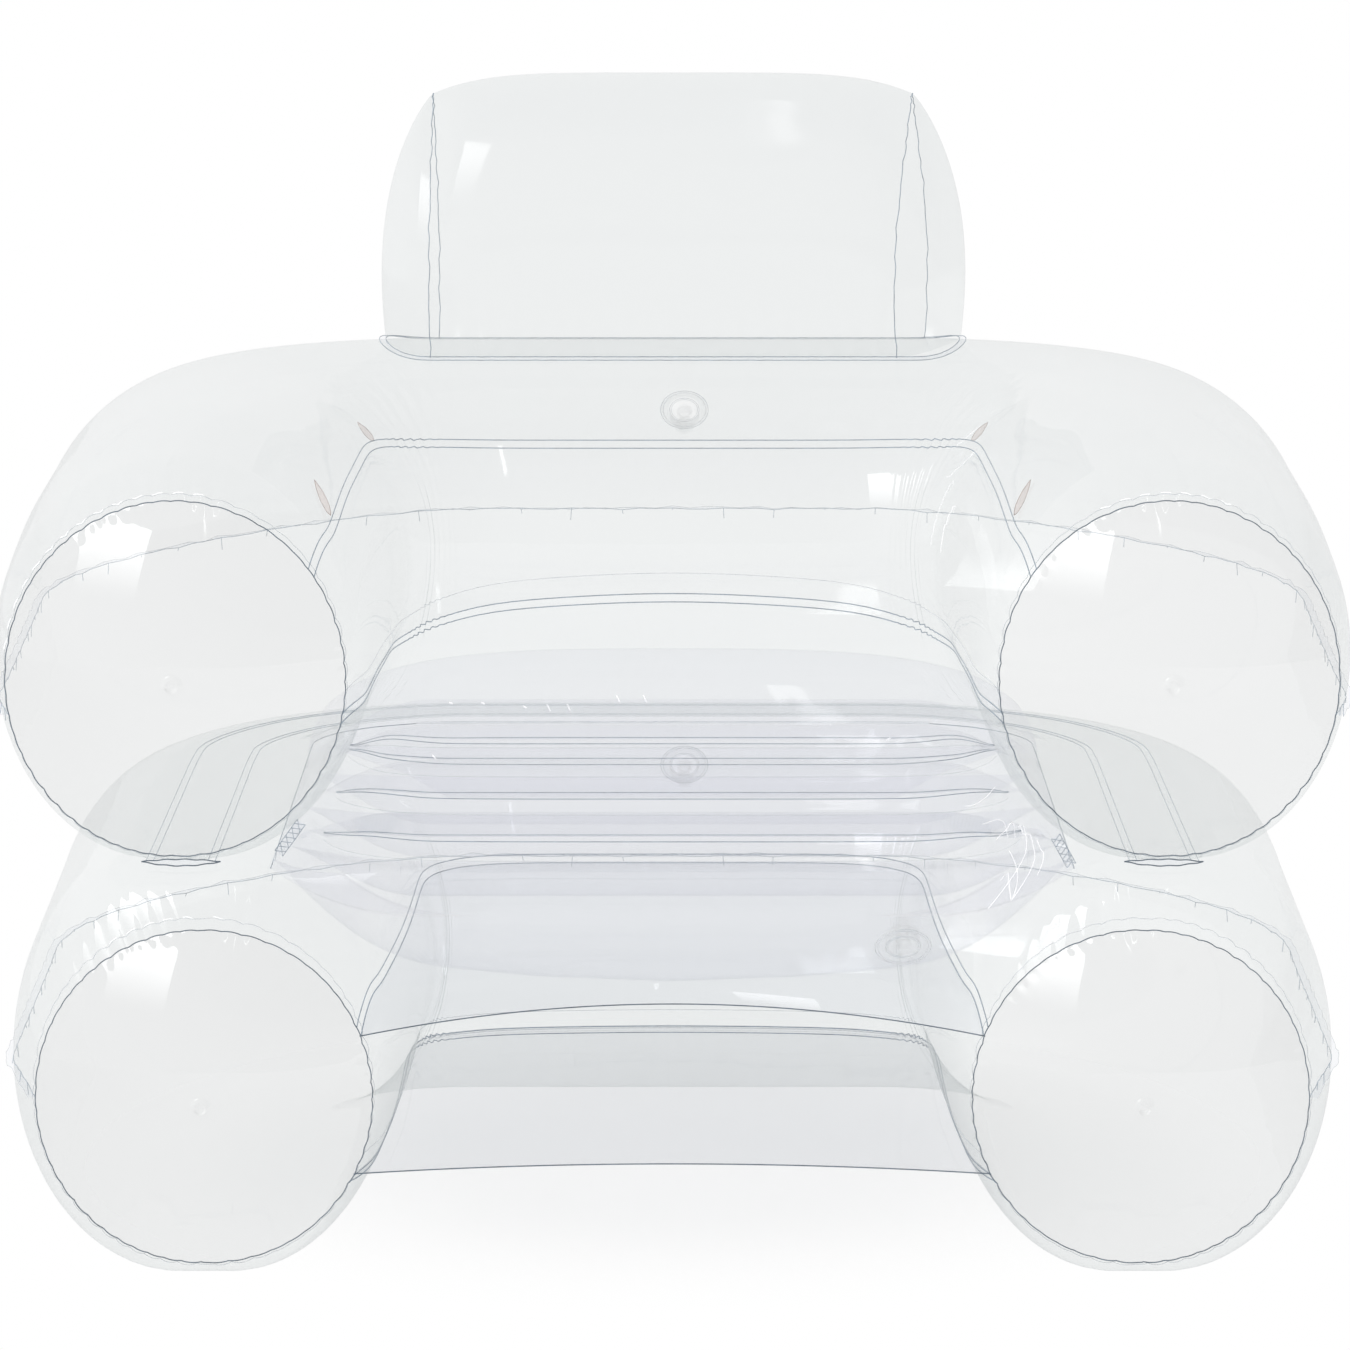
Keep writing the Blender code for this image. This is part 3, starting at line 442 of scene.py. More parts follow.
# Film scorched by the bar turns brownish.
tab_weld = seam_finish("scorched_weld_tab", "#a89289", 0.55)
tab_film = film_finish("scorched_tab_film", "#f1e9e6", haze=0.06, wave=0.0)
# Painted glints: white beads that glow a little, drawn on the film's creases.
painted_glint_white = seam_finish("painted_crease_glint", "#ffffff", 0.32, glint=0.42)
# Injection moulded soft vinyl: milky clear with a satin shine.
valve_vinyl = film_finish("moulded_valve_vinyl", "#fefefe", haze=0.012, mirror=0.03, roughness=0.15,
                          wave=0.0)
print(len(bpy.data.materials), "materials so far")

# %% [markdown]
# ## The path of a tube
# The chair is two U-shaped tubes, one on the other, each welded from a top, a bottom and an inner wall. A
# curve with a round bevel would give a garden hose. The real section changes along the tube, so a path of
# fine stations runs from one end disc round the back to the other, close together near the discs, where the
# film puckers. Each station holds a plan point, the outward normal, its place along the tube (0 disc, 1 start
# of the bend, 2 back), two blends from the end ring, and the run from the disc.

# %% Tube path
NEAR_RUNS = (0.0, 0.0015, 0.0035, 0.006, 0.009, 0.0125, 0.0165, 0.021, 0.026, 0.032, 0.039, 0.047, 0.056,
             0.066, 0.078, 0.092, 0.108)
START_Y = BACK_Y - CORNER_R


def tube_path(kind):
    """The stations of a tube as rows: x, y, normal x, normal y, place, blend, quick blend, run."""
    rows = []
    for y in list(NEAR_RUNS) + list(np.linspace(NEAR_RUNS[-1], START_Y, 32)[1:]):
        w = 1 - (1 - min(y / END_BLEND, 1)) ** 3
        quick = 1 - (1 - min(y / END_QUICK, 1)) ** 3
        x = DISC_X[kind] + (LINE_X - DISC_X[kind]) * w
        rows.append((-x, y, -1.0, 0.0, y / START_Y, w, quick, y))
    for angle in np.linspace(0, 90, 37)[1:]:
        c, s = math.cos(math.radians(angle)), math.sin(math.radians(angle))
        rows.append((-(LINE_X - CORNER_R) - CORNER_R * c, START_Y + CORNER_R * s, -c, s,
                     1 + angle / 90, 1.0, 1.0, START_Y + CORNER_R * math.radians(angle)))
    for x in np.linspace(LINE_X - CORNER_R, 0.0, 13)[1:]:
        rows.append((-x, BACK_Y, 0.0, 1.0, 2.0, 1.0, 1.0, 1.0))
    left = np.array(rows)
    right = left[-2::-1] * np.array([-1, 1, -1, 1, 1, 1, 1, 1])
    return np.vstack([left, right])


print("A tube has", len(tube_path("arm")), "stations")

# %% [markdown]
# ## The section of a tube
# Seen from its end, a tube is four quarter ellipses with a flat where it is welded to its neighbour or
# stands on the floor. Tables give the half widths and the angles of the seams by the place along the tube,
# as in the CAD. Angle 0 looks to the inside of the chair and 90 is up.

# %% Tube section
SPECS = {
    "arm": {
        "inner_half": ((0, 0.150), (1, 0.163), (1.5, 0.172), (2, BACK_HALF)),
        "outer_half": ((0, 0.152), (1, 0.167), (1.5, 0.180), (2, BACK_HALF)),
        "top_seam": ((0, 35.0), (1, 36.0), (1.5, 33.0), (2, 31.4)),
        "low_seam": ((0, -10.6), (0.5, -17.0), (1, -25.0), (1.5, -23.5), (1.75, -18.5), (2, -16.4)),
        "out_seam": ((0, 191.0), (0.3, 195.0), (1, 193.0), (1.5, 190.5), (2, 182.5)),
    },
    "base": {
        "inner_half": ((0, 0.166), (0.5, 0.182), (1, 0.186), (1.5, 0.179), (2, BACK_HALF)),
        "outer_half": ((0, 0.143), (1, 0.156), (1.5, 0.173), (2, BACK_HALF)),
        "top_seam": ((0, 21.6), (1, 20.0), (1.5, 18.6), (2, 20.8)),
        "low_seam": ((0, -27.5), (1, -33.0), (1.5, -35.8), (2, -33.6)),
        "out_seam": ((0, 180.0), (1, 184.0), (1.5, 185.0), (2, 180.0)),
    },
}
WELD_SHIFT = ((0, 0.0), (1, 0.0), (1.25, -0.010), (1.75, -0.010), (2, 0.0))
LOW_SEAM_BOW = {"arm": 4.4, "base": 1.5}
LOW_SEAM_BOW_HALF = 0.26
SHOULDER_SHARE = 0.62
SHOULDER_RUN = 0.055
SHOULDER_END = 0.24


def tube_section(kind, path):
    """Sizes and seam angles of the section at each station of the path, as columns."""
    along, w, quick, run = path[:, 4], path[:, 5], path[:, 6], path[:, 7]
    specs = SPECS[kind]
    arm = kind == "arm"
    ring_low = DISC_Z[kind] - DISC_HIGH[kind]
    ring_high = DISC_Z[kind] + DISC_HIGH[kind]
    low = ring_low + ((WELD_Z + HALF_GAP if arm else 0.0) - ring_low) * quick
    shoulder = SHOULDER_SHARE * (1 - (1 - np.clip(run / SHOULDER_RUN, 0, 1)) ** 3)
    shoulder = shoulder + (1 - SHOULDER_SHARE) * smooth_step(run, 0.01, SHOULDER_END)
    high = ring_high + ((TUBE_TOP if arm else WELD_Z - HALF_GAP) - ring_high) * (shoulder if arm else quick)
    weld_shift = smooth_ramp(along, WELD_SHIFT)
    sizes = {
        "in": DISC_HALF + (smooth_ramp(along, specs["inner_half"]) - DISC_HALF) * w,
        "out": DISC_HALF + (smooth_ramp(along, specs["outer_half"]) - DISC_HALF) * w,
        "zc": (low + high) / 2,
        "half": (high - low) / 2,
        "top_flat": np.zeros(len(along)) if arm else END_FLAT + (WELD_HALF - END_FLAT) * w,
        "low_flat": END_FLAT + ((WELD_HALF if arm else FLOOR_HALF) - END_FLAT) * w,
        "top_shift": np.zeros(len(along)) if arm else weld_shift,
        "low_shift": weld_shift if arm else FLOOR_SHIFT * w,
    }
    for seam in ("top_seam", "low_seam", "out_seam"):
        sizes[seam] = smooth_ramp(along, specs[seam])
    bow = smooth_step(LOW_SEAM_BOW_HALF - np.abs(path[:, 0]), 0, LOW_SEAM_BOW_HALF)
    sizes["low_seam"] = sizes["low_seam"] + LOW_SEAM_BOW[kind] * bow
    return {key: value[:, None] for key, value in sizes.items()}


def section_points(sec, degrees, side):
    """Offset from the centre line and height at angles round the section. side -1 is the chair's inside."""
    c, s = np.cos(np.radians(degrees)), np.sin(np.radians(degrees))
    flat = np.where(s >= 0, sec["top_flat"], sec["low_flat"])
    shift = np.where(s >= 0, sec["top_shift"], sec["low_shift"])
    if side < 0:
        n = -(flat - shift + (sec["in"] - flat + shift) * np.maximum(c, 0))
    else:
        n = flat + shift + (sec["out"] - flat - shift) * np.maximum(-c, 0)
    return n, sec["zc"] + sec["half"] * s


for kind in SPECS:
    half = tube_section(kind, tube_path(kind))["half"]
    print("The %s tube is %.3f to %.3f high" % (kind, 2 * half.min(), 2 * half.max()))

# %% [markdown]
# ## Pleats and ripples
# A flat disc is welded into a tube that wants to bulge, so the film gathers in short radial pleats behind
# each end seam. Inside the bends there is more film than room, and it ripples. Both are moves of the
# surface along its own radius. They could be painted as bump, but then the outline would stay smooth.

# %% Pleats and ripples
PLEATS = 53
PLEAT_DEPTH = 0.0042
PLEAT_REACH = 0.011
RIPPLE_DEPTH = 0.0016
RIPPLE_LENGTH = 0.034
BEND_SPREAD = 0.26


def pleat_wave(degrees):
    """0 on the full film between two creases, -1 in a crease, round an end seam."""
    turn = np.radians(degrees)
    phase = PLEATS * turn / 2 + 0.9 * np.sin(3 * turn) + 0.5 * np.sin(7 * turn + 1.0)
    deep = 0.62 + 0.38 * np.sin(5 * turn + 0.6) * np.sin(2 * turn + 0.3)
    return -(1 - np.abs(np.sin(phase)) ** 0.7) * deep


def dressed(path, sec, degrees, n, z):
    """The section points with the pleats of the end seams and the ripples inside the bends."""
    run = path[:, 7:8]
    along = path[:, 4:5]
    out_n = n - (sec["low_shift"] + sec["top_shift"]) / 2
    out_z = z - sec["zc"]
    size = np.hypot(out_n, out_z)
    crease = PLEAT_DEPTH * pleat_wave(degrees) * np.exp(-run / PLEAT_REACH)
    crease = crease * (0.36 + 0.64 * smooth_step(run, 0, 0.004))
    bend = np.exp(-((along - 1.5) / BEND_SPREAD) ** 2)
    inner = smooth_step(np.cos(np.radians(degrees)), 0.15, 0.75)
    ripple = RIPPLE_DEPTH * bend * inner * np.sin(2 * math.pi * run / RIPPLE_LENGTH + 0.05 * degrees)
    move = crease + ripple - RIPPLE_DEPTH * bend * inner
    return n + move * out_n / size, z + move * out_z / size


print("The deepest pleat is %.1f mm" % (-1000 * PLEAT_DEPTH * pleat_wave(np.linspace(0, 360, 3601)).min()))

# %% [markdown]
# ## From the section to the room
# Offsets and heights become points along the path. On the inside of a bend the real film cuts the corner,
# because tension pulls it short. Each long row there is smoothed with a bell curve, as a slack string is
# when it is pulled.

# %% Points in the room
CORNER_EASE = 0.040
EASE_STEP = 0.003
EASE_END = 0.22


def in_space(path, n, z):
    """World points from offsets and heights at each station."""
    x = path[:, 0:1] + n * path[:, 2:3]
    y = path[:, 1:2] + n * path[:, 3:4] + SHIFT_Y
    return np.stack([x, y, z + 0 * n], axis=2)


def eased(points, reach):
    """A long row of points with its corners rounded off over that reach. Straight runs stay straight."""
    run = np.r_[0, np.cumsum(np.linalg.norm(np.diff(points, axis=0), axis=1))]
    even = np.arange(-4 * reach, run[-1] + 4 * reach, EASE_STEP)
    inside = np.clip(even, 0, run[-1])
    ends = np.stack([points[1] - points[0], points[-1] - points[-2]])
    ends /= np.linalg.norm(ends, axis=1)[:, None]
    fine = np.stack([np.interp(inside, run, points[:, k]) for k in range(3)], axis=1)
    fine += np.outer(np.minimum(even, 0), ends[0]) + np.outer(np.maximum(even - run[-1], 0), ends[1])
    weights = np.exp(-0.5 * (np.arange(-3 * reach, 3 * reach + EASE_STEP, EASE_STEP) / reach) ** 2)
    weights /= weights.sum()
    smooth = np.stack([np.convolve(fine[:, k], weights, "same") for k in range(3)], axis=1)
    result = np.stack([np.interp(run, even, smooth[:, k]) for k in range(3)], axis=1)
    keep = smooth_step(run, 0.01, EASE_END) * (1 - smooth_step(run, run[-1] - EASE_END, run[-1] - 0.01))
    return points + (result - points) * keep[:, None]


def to_space(path, n, z, plain=None):
    """World points, eased on the inside of a bend. plain holds offsets and heights without pleats."""
    full = in_space(path, n, z)
    if len(path) < 9:
        return full
    base = full if plain is None else in_space(path, *plain)
    inward = np.median(-n[path[:, 4] > 1.2], axis=0)
    moved = base.copy()
    for j in range(base.shape[1]):
        reach = CORNER_EASE * smooth_step(inward[j], 0.03, 0.14)
        if reach > 0.004:
            moved[:, j] = eased(base[:, j], reach)
    return moved + full - base


# %% [markdown]
# ## Films, seams and rings of a tube
# With these three every piece of a tube is drawn: a panel between two seams, a line on the film at the
# angle of a seam, and the whole outline at one station.

# %% Films, seams and rings


def film_surface(path, sec, spans):
    """Points of a panel. A span is (from angle, to angle, side, count), with angles as columns."""
    plain, full = [], []
    for start, end, side, count in spans:
        degrees = start + (end - start) * np.linspace(0, 1, count)[None, :]
        n, z = section_points(sec, degrees, side)
        plain.append((n, z))
        full.append(dressed(path, sec, degrees, n, z))
    join = [np.hstack([part[k] for part in group]) for group in (full, plain) for k in (0, 1)]
    return to_space(path, join[0], join[1], (join[2], join[3]))


def seam_line(path, sec, degrees, side=-1, lift=0.0004):
    """A line on the film at an angle that may change along the path."""
    degrees = degrees + np.zeros((len(path), 1))
    plain = section_points(sec, degrees, side)
    n, z = dressed(path, sec, degrees, *plain)
    size = np.hypot(n, z - sec["zc"])
    return to_space(path, n * (1 + lift / size), z + lift * (z - sec["zc"]) / size, plain)[:, 0]


def section_ring(path, sec, station, degrees):
    """The whole outline at a station: the station, and its plain and its pleated offsets and heights."""
    at = path[station:station + 1]
    own = {key: value[station:station + 1] for key, value in sec.items()}
    n_in, z = section_points(own, degrees, -1)
    n_out = section_points(own, degrees, 1)[0]
    n = np.where(np.cos(np.radians(degrees)) >= 0, n_in, n_out)
    return at, (n, z), dressed(at, own, degrees, n, z)


# %% [markdown]
# ## End discs
# A flat circle of film closes each front end and domes out under pressure. It could be a squashed sphere,
# but its rim has to follow the gathered outline of the tube, so rings shrink from that outline to the tip
# and lose their pleats within a few centimetres.

# %% End discs
DISC_PLEATS = 72
DISC_PLEAT_DEPTH = 0.0006
DISC_PLEAT_REACH = 0.050
DISC_RIM_REACH = 0.012
RIM_DEGREES = np.linspace(0, 360, 420, endpoint=False)[None, :]
DISC_SHARES = np.concatenate([np.linspace(1, 0.92, 11), np.linspace(0.90, 0.04, 24)])


def build_disc(kind, name, sign, plain, full):
    """Domed end disc from the plain and the pleated outline of its rim."""
    (n, z), (full_n, full_z) = [[part[0] for part in outline] for outline in (plain, full)]
    turn = np.radians(RIM_DEGREES[0])
    x = sign * (DISC_X[kind] + n)
    jog_x, jog_z = sign * (full_n - n), full_z - z
    middle_x, middle_z = sign * DISC_X[kind], DISC_Z[kind]
    rows = []
    for share in DISC_SHARES:
        near = math.exp(-(1 - share) / DISC_RIM_REACH)
        edge = math.exp(-((1 - share) / DISC_PLEAT_REACH) ** 2) * (1 - near)
        depth = DISC_DOME * (1 - share ** 2.1)
        depth = depth - DISC_PLEAT_DEPTH * edge * np.cos(DISC_PLEATS * turn / 2 + np.sin(3 * turn)) ** 2
        rows.append(np.stack([middle_x + (x - middle_x) * share + jog_x * near, SHIFT_Y - depth,
                              middle_z + (z - middle_z) * share + jog_z * near], axis=1))
    count, last = len(turn), (len(rows) - 1) * len(turn)
    verts = np.vstack(rows + [(middle_x, SHIFT_Y - DISC_DOME, middle_z)])
    faces = grid_faces(len(rows), count, closed=True)
    faces += [(last + j, last + (j + 1) % count, len(verts) - 1) for j in range(count)]
    piece = new_piece("%s_end_disc_film_%s" % (kind, name), verts, faces, disc_film)
    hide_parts("%s_end_disc_%s" % (kind, name))
    rim = rows[0] - (0, 0.0004, 0)
    bead_piece("%s_end_seam_%s" % (kind, name), [np.vstack([rim, rim[:1]])], "seam", rim_weld)


# %% [markdown]
# ## Outer fin
# The top and the bottom panel meet in an outward weld flange that runs round the chair. It is cut by hand
# and flutters, and short tension lines hang from it.

# %% Outer fin
FIN_WAVES = (0.041, 0.027, 0.0171)


def build_fin(kind, path, sec):
    """The outward weld flange of the outer seam, with a wavy free edge."""
    n, z = section_points(sec, sec["out_seam"], 1)
    run = np.cumsum(np.r_[0, np.linalg.norm(np.diff(path[:, :2], axis=0), axis=1)])[:, None]
    slow, quick, short = [np.sin(run * 2 * math.pi / length) for length in FIN_WAVES]
    reach = 0.0062 + 0.0006 * slow
    lift = 0.0011 * quick + 0.0008 * short
    shares = np.linspace(0, 1, 4)[None, :]
    fin = to_space(path, n + reach * shares, z + lift * shares)
    grid_piece(kind + "_outer_fin", fin, sheet_film)
    order = np.arange(len(path))
    jagged = fin[:, 0] + np.outer(0.0011 * np.sin(order * 2.1) * np.sin(order * 0.7), (0, 0, 1))
    bead_piece(kind + "_outer_seam_line", [jagged], "line", soft_weld)
    bead_piece(kind + "_outer_fin_edge", [fin[:, 3]], "hair", faint_weld)
    nicks = []
    for k in range(5, len(path) - 5, 3):
        drop = 0.006 + 0.005 * math.sin(k * 2.7)
        nicks.append(np.linspace(jagged[k], fin[k, 0] - np.array([0.001 * math.sin(k), 0, drop]), 3))
    bead_piece(kind + "_outer_seam_nicks", nicks, "soft", soft_weld)


# %% [markdown]
# ## The two tubes
# Each tube is its three panels, the double lines of the two lap welds on its inside, the line where the
# skirt of a disc ends inside the tube, the fin and the two discs.

# %% Tubes
PANEL_FINISH = {"arm_bottom_panel": under_film, "base_top_panel": crown_film}
TUBE_VALVE = {"arm": "back", "base": "base"}


def build_skirt_lines(kind, path, sec):
    """The inner edge of the weld where an end disc's skirt is welded into the tube."""
    row = int(np.argmin(np.abs(path[:, 7] - LAP / 2)))
    rings = []
    for station in (row, len(path) - 1 - row):
        at, _, full = section_ring(path, sec, station, np.linspace(0, 360, 361)[None, :])
        ring = to_space(at, *full)[0]
        ring[-1] = ring[0]
        rings.append(ring)
    bead_piece(kind + "_skirt_weld_lines", rings, "skirt", faint_weld)


def build_tube(kind):
    path = tube_path(kind)
    sec = tube_section(kind, path)
    top, low, out = sec["top_seam"], sec["low_seam"], sec["out_seam"]
    lap = np.degrees(LAP / sec["half"])
    up = np.full_like(top, 90.0)
    down = np.full_like(top, 270.0)
    panels = {
        "top_panel": [(top, up, -1, 60), (up, out, 1, 110)],
        "bottom_panel": [(out, down, 1, 80), (down, 360 + low, -1, 56)],
        "inner_wall": [(360 + low, 360 + top, -1, 44)],
    }
    for panel, spans in panels.items():
        node = "%s_%s" % (kind, panel)
        piece = grid_piece(node + "_film", film_surface(path, sec, spans), PANEL_FINISH.get(node, tube_film))
        if panel == "top_panel":
            open_valve_hole(piece, TUBE_VALVE[kind])
        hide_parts(node)
    inner = [seam_line(path, sec, angle) for angle in (top, top + lap, low, low - lap)]
    bead_piece(kind + "_inner_lap_seams", inner, "seam", line_weld)
    bead_piece(kind + "_inner_lap_shine", [seam_line(path, sec, low + 2.4 * lap)], "faint", faint_weld)
    build_skirt_lines(kind, path, sec)
    build_fin(kind, path, sec)
    rim = section_ring(path, sec, 0, RIM_DEGREES)[1:]
    for name, sign in SIDES:
        build_disc(kind, name, sign, *rim)
    return path, sec


TUBES = {kind: build_tube(kind) for kind in ("arm", "base")}

# %% [markdown]
# ## Weld between the tubes
# The two tubes are joined by a flat weld about 6 cm wide. Its edges show as double lines round the whole
# chair, fainter behind, and its ends as short dark lips under the arm discs.

# %% Weld band
REAR_WELD_X = 0.30
BAR_EDGE = 0.006
LIP_Y = 0.0225


def build_weld_band():
    path, sec = TUBES["arm"]
    keep = (path[:, 7] >= 0.026) | (path[:, 4] > 1)
    path, shift = path[keep], sec["low_shift"][keep]
    sides, rear = [], []
    for side in (-1, 1):
        for inset in (0.0, BAR_EDGE):
            n = shift + side * (WELD_HALF - inset)
            line = to_space(path, n, np.full_like(n, WELD_Z))[:, 0]
            behind = np.flatnonzero(np.abs(line[:, 0]) < REAR_WELD_X)
            sides += [line[:behind[0] + 1], line[behind[-1]:]]
            rear.append(line[behind])
    bead_piece("tube_weld_lines", sides, "line", soft_weld)
    bead_piece("tube_weld_rear_lines", rear, "faint", faint_weld)


def build_weld_lips():
    x = np.linspace(-WELD_HALF - 0.004, WELD_HALF + 0.004, 25)
    bow = 1 - (x / x[-1]) ** 2
    ends = []
    for name, sign in SIDES:
        rows = []
        for share in (-0.75, -0.25, 0.25, 0.75):
            z = WELD_Z - 0.001 + 0.0036 * share * bow + 0.0003 * np.sin(x * 400)
            rows.append(np.stack([sign * LINE_X + x, LIP_Y + SHIFT_Y + 0.004 * (1 - bow), z], axis=1))
        grid_piece("tube_weld_lip_" + name, np.array(rows), sheet_film)
        ends += [rows[0], rows[-1]]
    bead_piece("tube_weld_front_edges", ends, "edge", rim_weld)


build_weld_band()
build_weld_lips()

# %% [markdown]
# ## Sheets under the seat
# Two sheets are stretched between the arms of the lower tube. Their front edges are cut in a bow, which
# keeps them taut. A plane would not meet the curved seams, so each is a Coons patch: a blend of its four
# border lines that fits all of them.

# %% Sheets
SHEET_SAG = 0.004


def build_sheet(node, seam, bow, finish):
    """A Coons patch between the inner seams of the lower tube, with its front edge bowed in."""
    path, sec = TUBES["base"]
    line = seam_line(path, sec, sec[seam], lift=-0.0008)
    bend = int(np.argmin(np.abs(path[:len(line) // 2, 4] - 1.5)))
    side = line[:bend + 1]
    back = line[bend:len(line) - bend]
    mirror = np.array([-1, 1, 1])
    across = np.linspace(0, 1, len(back))
    share = np.linspace(0, 1, len(side))
    front = side[0][None, :] * (1 - across)[:, None] + (side[0] * mirror)[None, :] * across[:, None]
    front[:, 1] += bow * (1 - (2 * across - 1) ** 2)
    points = np.zeros((len(side), len(back), 3))
    for i, v in enumerate(share):
        cross = (1 - v) * front + v * back
        left, right = side[i] - cross[0], side[i] * mirror - cross[-1]
        points[i] = cross + np.outer(1 - across, left) + np.outer(across, right)
    points[:, :, 2] -= SHEET_SAG * np.sin(np.pi * across)[None, :] * np.sin(np.pi * share)[:, None]
    piece = grid_piece(node + "_film", points, finish)
    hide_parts(node)
    bead_piece(node + "_front_edge", [points[0]], "edge", rim_weld)


build_sheet("seat_support_sheet", "top_seam", SHEET_BOW, sheet_film)
build_sheet("floor_sheet", "low_seam", FLOOR_SHEET_BOW, floor_film)

# %% [markdown]
# ## Outline of the seat cushion
# The cushion is one film wrapped round the front and closed by a weld flange at the sides and the rear.
# Two rules give its plan: how far out its edge lies at a depth, and which share of its full swell it has
# at a place.

# %% Seat outline
RIB_LINES = (0.056, 0.238, 0.395, 0.495)
REAR_THIN_Y = 0.50


def seat_share(x, y, lower=False):
    """Share of the full swell at a place. The rear bay is full up to its rounded corners."""
    u = np.clip((x - SEAT_FULL_X) / (SEAT_EDGE_X - SEAT_FULL_X), 0, 1)
    v = np.clip((y - REAR_THIN_Y) / (SEAT_REAR_Y - REAR_THIN_Y), 0, 1)
    share = 1 - u * u
    if lower:
        thin = (1 - 0.42 * np.minimum(1, u / 0.35) * v) ** 1.25 * (1 - 0.35 * v * np.minimum(1, u / 0.35))
        return share ** 1.25 * thin
    rear = smooth_step(y, RIB_LINES[3] - 0.02, RIB_LINES[3] + 0.03)
    return share + (np.cbrt(1 - min(1, x / SEAT_EDGE_X) ** 3) - share) * rear


def seat_edge(y):
    bend_x = LINE_X - CORNER_R
    back = np.clip((y - START_Y) / CORNER_REACH, 0, 0.96)
    return bend_x + (SEAT_EDGE_X - bend_x) * np.sqrt(1 - back * back)


print("The seat is %.3f wide and its flange ends %.3f wide" % (2 * seat_edge(0), 2 * seat_edge(SEAT_REAR_Y)))

# %% [markdown]
# ## Profile of the seat cushion
# Four film ribs inside pull the cushion down in double weld lines, and it swells between them. A lattice
# or sculpting would do, but a sine between two welds is the shape that pressure gives a film, and its
# power sets how full the bay is.

# %% Seat profile
BAY_ROWS = 18


def bay_profile(stops, base_near, base_far, height, power):
    """Points (y, height, rise) over one bay between two welds. rise is 0 at the welds and 1 on the crest."""
    share = np.linspace(0, 1, BAY_ROWS)
    rise = np.sin(np.pi * share) ** power
    base = base_near + (base_far - base_near) * share
    return np.array([stops[0] + (stops[1] - stops[0]) * share, base + (height - base) * rise, rise])


def seat_lines():
    """Upper and lower profile of the cushion at mid width as (y, height above or below the middle, rise)."""
    half = RIB_WELD / 2
    upper, lower = [], []
    for k in range(len(RIB_LINES)):
        rear = k + 1 == len(RIB_LINES)
        far = SEAT_REAR_Y if rear else RIB_LINES[k + 1] - half
        upper.append(bay_profile((RIB_LINES[k] + half, far), SEAT_VALLEY, 0.0006 if rear else SEAT_VALLEY,
                                 SEAT_CREST, 0.75))
        far = SEAT_REAR_Y if rear else RIB_YS[k + 1] + RIB_LEAN - half
        lower.append(bay_profile((RIB_YS[k] + RIB_LEAN + half, far), RIB_LOWS[k],
                                 0.0006 if rear else RIB_LOWS[k + 1], SEAT_BELLY, 0.5))
    return np.hstack(upper), np.hstack(lower)


print("The top of the seat's profile has", seat_lines()[0].shape[1], "points")

# %% [markdown]
# ## Folds of the seat cushion
# A rib ends a few centimetres inside the edge. Its weld swings in plan there, and folds run out from the
# point where a front corner of the cushion is held between the tubes.

# %% Seat folds
FOLD_DEPTH = 0.0016
FOLD_CORNER = (0.318, 0.035)


def rib_bend(a, y):
    """How far the weld of a rib swings in plan near its end. The two rear ribs swing together."""
    middle = (RIB_LINES[2] + RIB_LINES[3]) / 2
    near = 1 - np.clip(np.abs(y - middle) / 0.14, 0, 1)
    end = smooth_step(a, RIB_REACH - 0.055, RIB_REACH) ** 2
    return (middle - y) * 0.85 * end * (near > 0.45) * (y > RIB_LINES[2] - 0.02)


def corner_folds(a, y):
    """Folds that run out from the point where a front corner of the cushion is held."""
    aside, back = FOLD_CORNER[0] - a, y - FOLD_CORNER[1]
    reach = np.hypot(aside, back)
    return FOLD_DEPTH * np.sin(13 * np.arctan2(back, aside)) * np.exp(-((reach - 0.03) / 0.035) ** 2)


# %% [markdown]
# ## Surface of the seat cushion
# Rows run across the chair. Each goes from the rear seam over the top, round the nose and back underneath,
# so the whole cushion is one grid with its weld flange at both ends of a row.

# %% Seat surface
NOSE_SHARES = ((0.0, 1.03), (0.105, 0.99), (0.158, 0.94), (0.195, 0.90), (0.220, 0.83), (0.245, 0.715),
               (0.270, 0.54), (0.295, 0.31), (0.312, 0.13), (SEAT_EDGE_X, 0.0))
NOSE_ROWS = 40
RIB_FADE = 0.10
REAR_RISE = 0.026
PUCKER_DEPTH = 0.0008
RIGHT_FOLDS = 2.1


